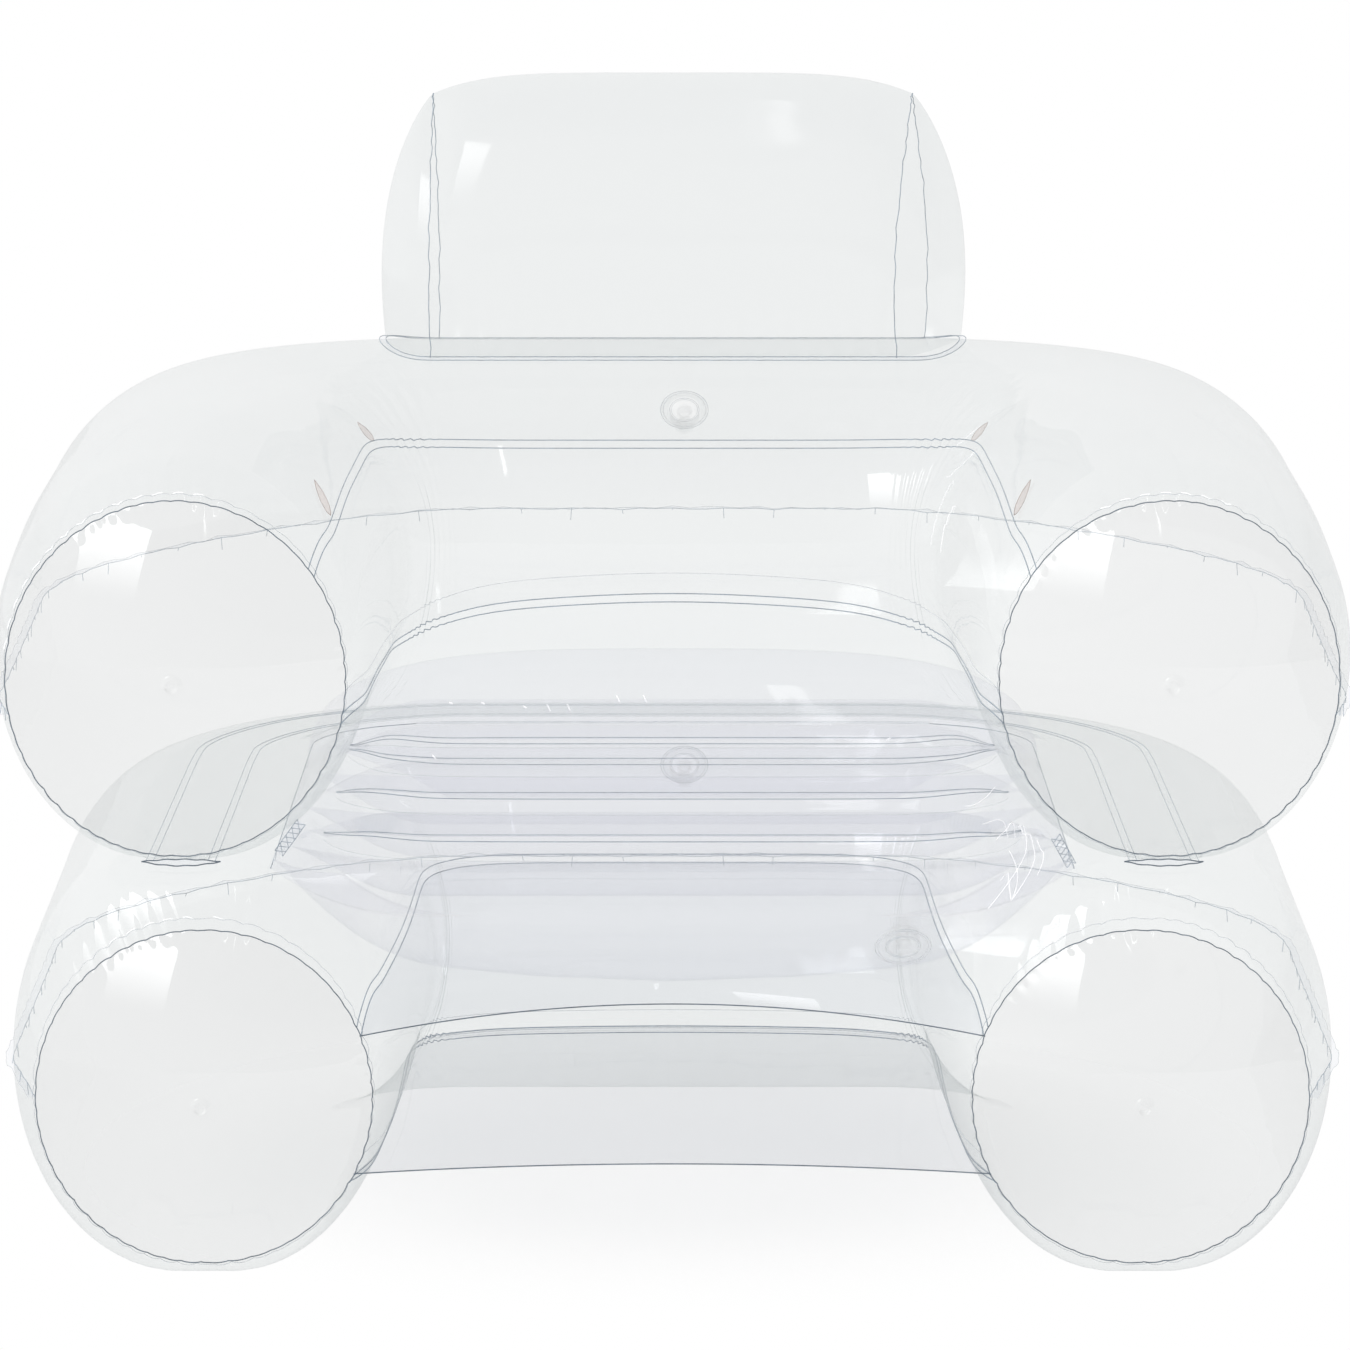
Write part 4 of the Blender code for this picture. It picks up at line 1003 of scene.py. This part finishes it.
def seat_surface(columns=201):
    """Points of the cushion, and the column at which its nose starts."""
    upper, lower = seat_lines()
    turns = np.radians(np.linspace(96, -118, NOSE_ROWS))
    nose_y = np.r_[RIB_LINES[0] - RIB_WELD / 2, NOSE_Y - NOSE_R * np.cos(turns)]
    nose_z = np.r_[SEAT_VALLEY, NOSE_Z + NOSE_R * np.sin(turns) - SEAT_MID]
    y = np.concatenate([upper[0][::-1], nose_y, lower[0]])
    z = np.concatenate([upper[1][::-1], nose_z, -lower[1]])
    rise = np.concatenate([upper[2][::-1], np.linspace(0, 1, len(nose_y)), lower[2]])
    nose_start = upper.shape[1]
    fold = nose_start + NOSE_ROWS // 2
    order = np.arange(len(y))
    top = order < nose_start
    nose = (order >= fold) & (order < nose_start + len(nose_y))
    shares = np.linspace(-1, 1, columns)
    xs = np.sign(shares) * SEAT_EDGE_X * (1 - (1 - np.abs(shares)) ** 1.25)
    depth = SEAT_MID - (NOSE_Z - NOSE_R)
    rear = top * smooth_step(y, RIB_LINES[3], RIB_LINES[3] + 0.03)
    loose = top * (1 - smooth_step(y, SEAT_REAR_Y - 0.06, SEAT_REAR_Y - 0.01))
    loose = loose + (order >= nose_start) * (1 - smooth_step(order, nose_start, nose_start + 9)) * ~nose
    edge = seat_edge(y)
    rows = []
    for x in xs:
        a = abs(x)
        upper_share = seat_share(a, y)
        free = 0.26 * smooth_step(a, RIB_REACH - RIB_FADE, RIB_REACH) ** 1.5
        free = free + 0.74 * smooth_step(a, RIB_REACH - 0.006, RIB_REACH + 0.022)
        swell = z + loose * (0.93 * SEAT_CREST - z) * free * 0.8
        swell = swell + REAR_RISE * rear * rise
        height = np.where(order < fold, swell * upper_share, swell * seat_share(a, y, True))
        lift = (1 - smooth_ramp(a, NOSE_SHARES, 0.012)) * depth
        height = np.where(nose, np.minimum(z + lift, -0.0006), height)
        pull = 0.025 * (1 - upper_share) * np.clip((RIB_LINES[0] - y) / 0.08, 0, 1)
        pucker = PUCKER_DEPTH * np.exp(-((a - 0.300) / 0.020) ** 2) * np.sin(2 * math.pi * y * 31 + 3 * a)
        moved_y = y + pull + top * rib_bend(a, y) + SHIFT_Y
        folds = corner_folds(a, y) * (RIGHT_FOLDS if x > 0 else 1.0) * (order < fold + 6)
        height = height - np.abs(pucker) + folds * smooth_step(upper_share, 0.05, 0.4)
        rows.append(np.stack([x * edge / SEAT_EDGE_X, moved_y, SEAT_MID + height], axis=1))
    return np.array(rows), nose_start


SEAT_GRID, NOSE_START = seat_surface()
print("The seat's grid has %d rows of %d points" % SEAT_GRID.shape[:2])

# %% [markdown]
# ## Seat cushion and ribs
# The ribs are strips from the upper weld to the lower one. Under the upper weld a strip folds, and that
# fold is the darker of the two lines that the eye sees at each groove.

# %% Seat cushion
RIB_FOLD = 0.0045


def build_rib(k, weld, foot_y, foot_z):
    """A rib: a film strip from its upper weld down to its lower weld, with the fold under the upper weld."""
    lens = np.clip(1 - (np.abs(weld[:, 0]) / (RIB_REACH + 0.001)) ** 6, 0, 1)[:, None]
    fold = weld + lens * RIB_FOLD * np.array([0, 0, -1.0]) + lens * np.array([0, -0.004, 0])
    foot = weld * np.array([1, 0, 0]) + np.array([0, foot_y + SHIFT_Y, foot_z])
    foot = fold + (foot - fold) * lens ** 0.5
    strip = np.array([weld, fold, fold * 0.6 + foot * 0.4, foot])
    piece = grid_piece("seat_rib_film_%d" % (k + 1), strip, rib_film)
    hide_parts("seat_rib_%d" % (k + 1))
    return fold, foot


def build_seat():
    piece = grid_piece("seat_cushion_film", SEAT_GRID, seat_film)
    open_valve_hole(piece, "seat")
    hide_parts("seat_cushion_panel")
    upper, folds, feet = [], [], []
    for k in range(len(RIB_LINES)):
        weld = SEAT_GRID[:, NOSE_START - 1 - k * BAY_ROWS]
        weld = weld[np.abs(weld[:, 0]) <= RIB_REACH]
        fold, foot = build_rib(k, weld, RIB_YS[k] + RIB_LEAN, SEAT_MID - RIB_LOWS[k])
        upper.append(weld + np.array([0, 0, 0.0004]))
        folds.append(fold)
        feet.append(foot)
    bead_piece("seat_rib_weld_lines", upper, "rib", line_weld)
    bead_piece("seat_rib_fold_lines", folds, "line", line_weld)
    bead_piece("seat_rib_foot_lines", feet, "foot", faint_weld)
    rear = SEAT_GRID[:, 0]
    bead_piece("seat_rear_seam_lines", [rear, rear + np.array([0, SEAT_FLANGE, 0])], "soft", faint_weld)
    bead_piece("seat_side_seam_lines", [SEAT_GRID[0], SEAT_GRID[-1]], "soft", soft_weld)


build_seat()

# %% [markdown]
# ## Weld tabs
# Four pointed tabs stand at the inner corners of the arms, a little browned by the welding bar. Each is a
# leaf-shaped strip with a bead round its edge, placed by its distance from the disc and its angle round
# the tube, so that it stays on the film.

# %% Weld tabs
TAB_PLACES = (((0.085, 39.0), (0.140, 48.0)), ((0.530, 36.5), (0.520, 44.0)))
TAB_WIDTH = 0.005


def film_point(run, angle, sign, lift):
    """A point just off an arm's film, at a distance from the disc and an angle round the section."""
    path, sec = TUBES["arm"]
    index = int(np.argmin(np.abs(path[:len(path) // 2, 7] - run)))
    own = {key: value[index:index + 1] for key, value in sec.items()}
    n, z = section_points(own, np.array([[angle]]), -1)
    point = to_space(path[index:index + 1], n + lift * n / abs(n), z + lift)[0, 0]
    return point * np.array([-sign, 1, 1])


def leaf(start, end, count=14):
    """A pointed leaf between two points, as a strip of rows."""
    shares = np.linspace(0, 1, count)
    side = np.cross(end - start, (0, -1, 0.4))
    side /= np.linalg.norm(side)
    middle = start + np.outer(shares, end - start)
    half = 0.5 * TAB_WIDTH * np.sin(math.pi * shares ** 0.8) ** 0.8
    fold = 0.0006 * np.sin(shares * 17)
    rows = [middle + np.outer(half * k, side) + np.outer(fold, (0, -1, 0)) for k in (-1, -0.4, 0.2, 1)]
    return np.array(rows)


for name, sign in SIDES:
    for number, ends in enumerate(TAB_PLACES, 1):
        rows = leaf(*[film_point(run, angle, sign, 0.0015) for run, angle in ends])
        grid_piece("corner_weld_tab_%s_%d" % (name, number), rows, tab_film)
        outline = np.vstack([rows[0], rows[-1][::-1], rows[0][:1]])
        bead_piece("corner_tab_edge_%s_%d" % (name, number), [outline], "hair", tab_weld)

# %% [markdown]
# ## Flaps at the seat's corners
# A small flap, embossed by a cross-hatched welding bar, holds each front corner of the seat. The hatching
# is drawn as beads, because at this size a line catches the light as the embossed ridge does.

# %% Seat flaps
FLAP_FEET = ((-0.3190, 0.3500), (-0.3010, 0.3740)), ((0.3235, 0.3400), (0.3110, 0.3620))
FLAP_Y = 0.030
FLAP_WIDTH = 0.008


def build_seat_flap(name, low, high):
    start = np.array([low[0], FLAP_Y + SHIFT_Y, low[1]])
    run = np.array([high[0], FLAP_Y + SHIFT_Y + 0.01, high[1]]) - start
    side = np.array([run[2], 0, -run[0]])
    side *= FLAP_WIDTH / np.linalg.norm(side)
    shares = np.linspace(0, 1, 12)
    wave = 0.0015 * np.sin(shares * 9)
    rows = [start + np.outer(shares, run) + side * k + np.outer(wave * (k + 0.5), (0, 1, 0))
            for k in np.linspace(-0.5, 0.5, 5)]
    grid_piece("seat_corner_flap_" + name, np.array(rows), sheet_film)
    lines = [rows[0], rows[-1]]
    for count, lean in ((7, 1), (4, -1)):
        for k in range(count):
            foot = start + run * k / count - side * lean / 2
            lines.append(np.linspace(foot, foot + run / count + side * lean, 4))
    bead_piece("seat_corner_weld_mesh_" + name, lines, "mesh", line_weld)


for (name, _), feet in zip(SIDES, FLAP_FEET):
    build_seat_flap(name, *feet)

# %% [markdown]
# ## Painted glints on the creases
# Where the film is pulled hard, it creases, and the creases catch the light: in the gathered pleats
# just behind the round end seams, at the right front corner of the seat and in the inner corner of the
# right arm. Each glint is painted as a thin white bead with a little emission, lying on the film's own
# surface. Painting them into the film's finish would blur them, because they are thinner than a millimetre.

# %% Marks of the painted crease glints
RIM_CREASE_RUN = 0.0045
RIM_CREASE_GLINTS = (("arm", "left", 80, 172), ("arm", "right", 66, 112), ("base", "left", 84, 120))
SEAT_CREASE_GLINTS = (
    ((0.284, 2), (0.291, 8), (0.286, 14), (0.262, 21)),
    ((0.280, 1), (0.285, 7), (0.277, 13), (0.252, 19)),
    ((0.294, 5), (0.298, 10), (0.292, 15)),
    ((0.273, 0), (0.261, 3), (0.250, 5)),
    ((0.279, 0), (0.268, 5), (0.260, 8)),
    ((0.266, -7), (0.254, -4), (0.240, -3)),
    ((0.270, 10), (0.276, 15), (0.268, 20)),
)
SEAT_GLINT_DOTS = ((-0.196, -44), (-0.168, -44), (-0.131, -43), (-0.112, -57), (-0.094, -57), (-0.050, -57.5),
               (-0.026, -57.5), (0.186, -34), (-0.204, -22))
ARM_CREASE_GLINTS = (
    ((0.470, 36), (0.520, 27), (0.570, 24)),
    ((0.505, 24), (0.545, 14), (0.575, 3)),
    ((0.555, 42), (0.600, 34), (0.640, 33)),
    ((0.430, 20), (0.460, 12), (0.470, 4)),
)
CREASE_LIFT = 0.0008


def smooth_marks(marks, count=24):
    """A smooth curve through two or more marks."""
    marks = np.array(marks, float)
    share = np.linspace(0, 1, len(marks))
    fits = [np.polyfit(share, column, len(marks) - 1) for column in marks.T]
    return [np.polyval(fit, np.linspace(0, 1, count)) for fit in fits]


def on_seat(x, step):
    """Points on the seat film at x, step rows of the grid in front of the first rib weld."""
    row = np.interp(x, SEAT_GRID[:, NOSE_START, 0], np.arange(len(SEAT_GRID)))
    column = NOSE_START + step
    i, c = np.floor(row).astype(int), np.floor(column).astype(int)
    u, v = (row - i)[:, None], (column - c)[:, None]
    near = SEAT_GRID[i, c] * (1 - v) + SEAT_GRID[i, c + 1] * v
    far = SEAT_GRID[i + 1, c] * (1 - v) + SEAT_GRID[i + 1, c + 1] * v
    return near * (1 - u) + far * u + np.array([0, -0.0005, 0.0005])


# %% Painted crease glints


def build_rim_crease_glints(kind, name, low, high):
    """A short painted glint arc in every second half of a pleat, just behind an end seam."""
    path, sec = TUBES[kind]
    place = int(np.argmin(np.abs(path[:len(path) // 2, 7] - RIM_CREASE_RUN)))
    place = place if name == "left" else -1 - place
    pitch = 360 / PLEATS
    lines = []
    for start in np.arange(low, high, pitch):
        turns = start + pitch * np.linspace(0.0, 0.5, 5)
        lines.append([seam_line(path, sec, turn, 1 if turn > 90 else -1, CREASE_LIFT)[place]
                      for turn in turns])
    bead_piece("%s_rim_crease_glints_%s" % (kind, name), lines, "rim glint", painted_glint_white)


# Painted glints: white glowing beads in the pleats behind the end seams.
for crease in RIM_CREASE_GLINTS:
    build_rim_crease_glints(*crease)
# Painted glints: white glowing beads at the seat's right front corner, short dots on its top and in the right
# arm's inner corner.
bead_piece("seat_corner_crease_glints", [on_seat(*smooth_marks(marks)) for marks in SEAT_CREASE_GLINTS],
           "seat glint", painted_glint_white)
bead_piece("seat_top_glints", [on_seat(x + np.linspace(0, 0.003, 3), step + np.linspace(0, 0.4, 3))
                                for x, step in SEAT_GLINT_DOTS], "glint dot", painted_glint_white)
bead_piece("arm_corner_crease_glints", [[film_point(run, angle, 1, CREASE_LIFT) for run, angle
                                   in zip(*smooth_marks(marks))] for marks in ARM_CREASE_GLINTS],
           "soft", painted_glint_white)

# %% [markdown]
# ## Shape of the headrest
# A pillow stands on the back tube: a wrap panel from the front weld over the top to the rear weld, and a
# leaf-shaped panel at each end. An inflated box has round cheeks and pinched seams, which these rules give:
# where it stands, how thick it is at a height, how it leans and how high it is.

# %% Headrest shape
BACK_ZC = (TUBE_TOP + WELD_Z) / 2
BACK_HIGH = (TUBE_TOP - WELD_Z) / 2
HEAD_Y = BACK_Y - BACK_HALF * math.cos(math.radians(HEAD_FRONT_ANGLE)) + HEAD_BASE_HALF


def crest_height(y):
    """Height of the back tube's crest at a depth."""
    u = np.clip((y - BACK_Y) / BACK_HALF, -1, 1)
    return BACK_ZC + BACK_HIGH * np.sqrt(1 - u * u) + 0.001


def head_half(share, edge):
    """Half the pillow's thickness at a share of its height. edge is 1 at its ends."""
    swell = HEAD_BASE_HALF + HEAD_SWELL * np.sin(math.pi * np.minimum(1, share * 1.15)) ** 0.8
    return swell * ((1 - edge) * (1 - share ** 5) ** 0.5 + edge * (1 - share ** 2.4))


def head_lean(x, y):
    """The pillow stands a little turned on the tube, and its rear edge is a little longer than the front."""
    return (HEAD_SKEW + HEAD_SPREAD * x / HEAD_DRAWN_X) * (y - HEAD_Y) / HEAD_BASE_HALF


def head_top(x):
    return HEAD_TOP_Z - (HEAD_TOP_Z - HEAD_TIP_Z) * (np.abs(x) / HEAD_DRAWN_X) ** 5


print("The headrest stands at y %.3f and rises to %.3f" % (HEAD_Y + SHIFT_Y, head_top(0)))

# %% [markdown]
# ## Headrest
# The wrap and the two ends are separate grids that share their border, as the real panels share a seam.
# The base is welded to the tube with a flange, whose two lines run round in a stadium shape.

# %% Headrest
HEAD_RIPPLE = 0.021
SIDE_JOG = 0.0011


def puckered(line):
    """The line with the small sideways jogs that a gathered seam shows."""
    count = np.arange(len(line))
    jog = np.sin(count * 1.31) * np.sin(count * 0.47 + 1) + 0.5 * np.sin(count * 2.3)
    return line + np.outer(jog * SIDE_JOG * 0.7, (1, 0, 0))


def build_head_wrap():
    turns = np.linspace(-1, 1, 111)
    xs = HEAD_DRAWN_X * np.sign(turns) * (1 - (1 - np.abs(turns)) ** 1.5)
    shares = np.sin(np.linspace(0, 1, 40) * math.pi / 2)
    rows = []
    for x in xs:
        half = head_half(shares, (abs(x) / HEAD_DRAWN_X) ** 10)
        ring = []
        for side in (-1, 1):
            y = HEAD_Y + side * half
            base = crest_height(HEAD_Y + side * HEAD_BASE_HALF)
            z = base + (head_top(x) - base) * shares
            part = np.stack([x + head_lean(x, y), y + SHIFT_Y, z], axis=1)
            ring.append(part if side < 0 else part[::-1][1:])
        rows.append(np.vstack(ring))
    points = np.array(rows)
    wave = np.sin(points[:, :, 0] * 2 * math.pi / HEAD_RIPPLE) * np.exp(-(points[:, :, 2] - 0.69) / 0.018)
    points[:, :, 1] += 0.0007 * wave
    wrap = grid_piece("headrest_wrap_film", points, head_film)
    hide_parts("headrest_wrap_panel")
    return [puckered(points[0]), puckered(points[-1])]


def build_head_side(name, sign):
    turns = np.linspace(-1, 1, 41)
    rows = []
    for share in np.sin(np.linspace(0, 1, 44) * math.pi / 2) ** 1.1:
        bulge = HEAD_DRAWN_BULGE * (0.92 + 0.5 * share) * (1 - share ** 2) ** 0.85
        y = HEAD_Y + turns * head_half(share, 1.0)
        x = HEAD_DRAWN_X + bulge * (1 - turns ** 2) ** 0.62
        low = crest_height(y)
        lean = head_lean(sign * HEAD_DRAWN_X, y)
        rows.append(np.stack([sign * x + lean, y + SHIFT_Y, low + (HEAD_TIP_Z - low) * share], axis=1))
    piece = grid_piece("headrest_side_film_" + name, np.array(rows), head_film)
    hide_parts("headrest_side_panel_" + name)


def build_head_base():
    """The stadium shaped weld flange on the tube, with its inner and outer line."""
    rings = []
    for reach in (0.0, HEAD_FLANGE):
        ends = np.radians(np.linspace(-90, 90, 40))
        arc_x = HEAD_DRAWN_X + (HEAD_DRAWN_BULGE * 0.92 + reach) * np.cos(ends) ** 0.8
        arc_y = HEAD_Y + (HEAD_BASE_HALF + reach) * np.sin(ends)
        run = np.linspace(HEAD_DRAWN_X, -HEAD_DRAWN_X, 90)[1:-1]
        x = np.concatenate([arc_x, run, -arc_x[::-1], -run])
        y = np.concatenate([arc_y, np.full_like(run, HEAD_Y + HEAD_BASE_HALF + reach), arc_y[::-1],
                            np.full_like(run, HEAD_Y - HEAD_BASE_HALF - reach)])
        pucker = 0.0008 * np.sin(np.arange(len(x)) * 1.9) * np.sin(np.arange(len(x)) * 0.31)
        ring = np.stack([x, y + SHIFT_Y + pucker, crest_height(y) + 0.0008], axis=1)
        rings.append(np.vstack([ring, ring[:1]]))
    grid_piece("headrest_weld_flange", np.array(rings), sheet_film)
    bead_piece("headrest_weld_lines", rings, "soft", line_weld)


seams = build_head_wrap()
for name, sign in SIDES:
    build_head_side(name, sign)
bead_piece("headrest_side_seams", seams, "line", line_weld)
build_head_base()

# %% [markdown]
# ## Valves
# Flange, stem, plug and flap are moulded parts, and the CAD solids have their real shape already, so they
# are kept and only get the moulded vinyl finish. Fine beads mark the edge and the step of each flange,
# which is what shows of a clear valve.

# %% Valves


def valve_rings(prefix):
    """Thin lines on the flange of a valve: its edge, the step of the cup and the cup's rim."""
    centre, normal, wide, side, up = valve_place(prefix)
    turns = np.linspace(0, 2 * math.pi, 73)
    rings = []
    for share in (1.0, 0.62, 0.90, 0.55):
        ring = share * wide * (np.outer(np.cos(turns), side) + np.outer(np.sin(turns), up))
        ring = centre + normal * 0.0006 + ring
        ring[-1] = ring[0]
        rings.append(ring)
    bead_piece(prefix + "_valve_flange_lines", rings[:2], "skirt", faint_weld)
    bead_piece(prefix + "_valve_flange_steps", rings[2:], "hair", faint_weld)


for prefix in ("base", "back", "seat"):
    for part_name in ("flange", "stem", "plug", "flap"):
        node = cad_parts["%s_valve_%s" % (prefix, part_name)]
        node.data.materials.clear()
        node.data.materials.append(valve_vinyl)
    valve_rings(prefix)

# %% [markdown]
# ## Floor
# A pale floor keeps the chair's shadow near it and runs out to plain white, as in a studio cut-out. A light
# that is strong enough to burn the floor out would burn the film too, so the floor fades to a white
# emission that only the eye sees.

# %% Floor
FLOOR_RINGS = (0.0, 0.4, 0.8, 1.2, 1.6, 2.4, 4.0, 9.0)
FLOOR_Z = -0.0006
SHADOW_RADIUS = 0.52
FLOOR_WHITE = 0.78


def seen_by_eye(tree):
    """1 for camera and transmission rays. What the film mirrors is the duller studio."""
    rays = add_node(tree, "ShaderNodeLightPath").outputs
    either = {0: rays["Is Camera Ray"], 1: rays["Is Transmission Ray"]}
    return add_node(tree, "ShaderNodeMath", either, operation="MAXIMUM").outputs[0]


def floor_finish():
    """Matt studio paper under the chair, which turns plain white outwards."""
    finish = bpy.data.materials.new("pale_studio_floor")
    tree = empty_tree(finish)
    place = add_node(tree, "ShaderNodeTexCoord").outputs["Object"]
    length = add_node(tree, "ShaderNodeVectorMath", {0: place}, operation="LENGTH")
    # Near the chair less of the white emission is mixed in: the real shadow shows there, and the floor is
    # also painted a little greyer in a round patch under the chair.
    fade = add_node(tree, "ShaderNodeMapRange",
                    {"Value": length.outputs["Value"], "From Min": SHADOW_RADIUS * 0.35,
                     "From Max": SHADOW_RADIUS, "To Min": FLOOR_WHITE}, interpolation_type="SMOOTHSTEP")
    both = add_node(tree, "ShaderNodeMath", {0: fade.outputs["Result"], 1: seen_by_eye(tree)},
                    operation="MULTIPLY")
    paper = add_node(tree, "ShaderNodeBsdfDiffuse", {"Color": linear("#fafafa")})
    white = add_node(tree, "ShaderNodeEmission", {"Strength": 1.0})
    mixed = add_node(tree, "ShaderNodeMixShader",
                     {"Fac": both.outputs[0], 1: paper.outputs[0], 2: white.outputs[0]})
    add_node(tree, "ShaderNodeOutputMaterial", {"Surface": mixed.outputs[0]})
    return finish


def build_floor():
    turns = np.linspace(0, 2 * math.pi, 96, endpoint=False)
    points = [(r * math.cos(t), r * math.sin(t), FLOOR_Z) for r in FLOOR_RINGS for t in turns]
    mesh = bpy.data.meshes.new("studio_floor")
    mesh.from_pydata(points, [], grid_faces(len(FLOOR_RINGS), len(turns), closed=True))
    mesh.materials.append(floor_finish())
    in_scene("studio_floor", mesh)
    print("The floor reaches", FLOOR_RINGS[-1], "m")


# %% [markdown]
# ## Studio
# The world is soft white light, a little stronger from the left and from behind, and plain white to the
# eye. A large softbox stands at the upper left, as its reflections in the discs show, and a small strip
# above the middle.

# %% Studio
AMBIENT = 0.83
AMBIENT_LEAN = 0.32
BACKDROP_LEAN = 0.08


def build_world():
    world = bpy.data.worlds.new("white_studio")
    bpy.context.scene.world = world
    tree = empty_tree(world)
    aim = add_node(tree, "ShaderNodeTexCoord").outputs["Generated"]
    split = add_node(tree, "ShaderNodeSeparateXYZ", {0: aim})
    side = add_node(tree, "ShaderNodeMapRange",
                    {"Value": split.outputs["X"], "From Min": -1.0, "To Min": AMBIENT + AMBIENT_LEAN,
                     "To Max": AMBIENT - AMBIENT_LEAN})
    depth = add_node(tree, "ShaderNodeMath", {0: split.outputs["Y"], 1: BACKDROP_LEAN,
                                              2: side.outputs["Result"]}, operation="MULTIPLY_ADD")
    plain = {"Color": linear("#ffffff")}
    ambient = add_node(tree, "ShaderNodeBackground", {**plain, "Strength": depth.outputs[0]})
    white = add_node(tree, "ShaderNodeBackground", {**plain, "Strength": 1.0})
    mixed = add_node(tree, "ShaderNodeMixShader",
                     {"Fac": seen_by_eye(tree), 1: ambient.outputs[0], 2: white.outputs[0]})
    add_node(tree, "ShaderNodeOutputWorld", {"Surface": mixed.outputs[0]})


def softbox(name, place, aim, size, radiance, fade):
    """A rectangular lamp that points at aim. It is dim at its lower edge, up to a share of its height."""
    lamp = bpy.data.lights.new(name, "AREA")
    lamp.shape = "RECTANGLE"
    lamp.size, lamp.size_y = size
    lamp.energy = radiance * math.pi * size[0] * size[1]
    lamp.use_nodes = True
    tree = lamp.node_tree
    on_lamp = add_node(tree, "ShaderNodeNewGeometry").outputs["Parametric"]
    split = add_node(tree, "ShaderNodeSeparateXYZ", {0: on_lamp})
    fall = add_node(tree, "ShaderNodeMapRange", {"Value": split.outputs["Y"], "From Max": fade},
                    interpolation_type="SMOOTHSTEP")
    tree.links.new(fall.outputs["Result"], tree.nodes["Emission"].inputs["Strength"])
    item = in_scene(name, lamp)
    item.location = place
    item.rotation_euler = (Vector(aim) - Vector(place)).to_track_quat("-Z", "Y").to_euler()
    print(name, "gives %.0f W" % lamp.energy)


build_world()
build_floor()
softbox("main_softbox", (-6.0, -9.2, 6.7), (0, 0, 0.45), (5.2, 5.6), 3.0, 0.85)
softbox("strip_softbox", (0.40, -4.64, 5.84), (0.17, 0.13, 0.6), (0.10, 2.8), 3.0, 0.3)

# %% [markdown]
# ## Camera
# A long lens about 4.6 m in front of the discs and 1.3 m up, tilted down a little, as the lines of the
# chair show. The small shift keeps the chair in the middle of the square frame. Standard as the view
# transform shows the film's tints as they are written, and light may pass 64 layers of film.

# %% Camera
CAMERA_TILT = 0.14784
camera_data = bpy.data.cameras.new("photo_camera")
camera_data.sensor_width = 36.0
camera_data.lens = 155.03
camera_data.shift_y = -0.10
camera_data.clip_end = 60.0
camera = in_scene("photo_camera", camera_data)
camera.location = (0.0021, -4.5924 + SHIFT_Y, 1.2952)
camera.rotation_euler = (math.pi / 2 - CAMERA_TILT, 0, 0)
bpy.context.scene.camera = camera
bpy.context.scene.view_settings.view_transform = "Standard"
bpy.context.scene.cycles.transparent_max_bounces = 64
print("The camera looks down by %.1f degrees" % math.degrees(CAMERA_TILT))
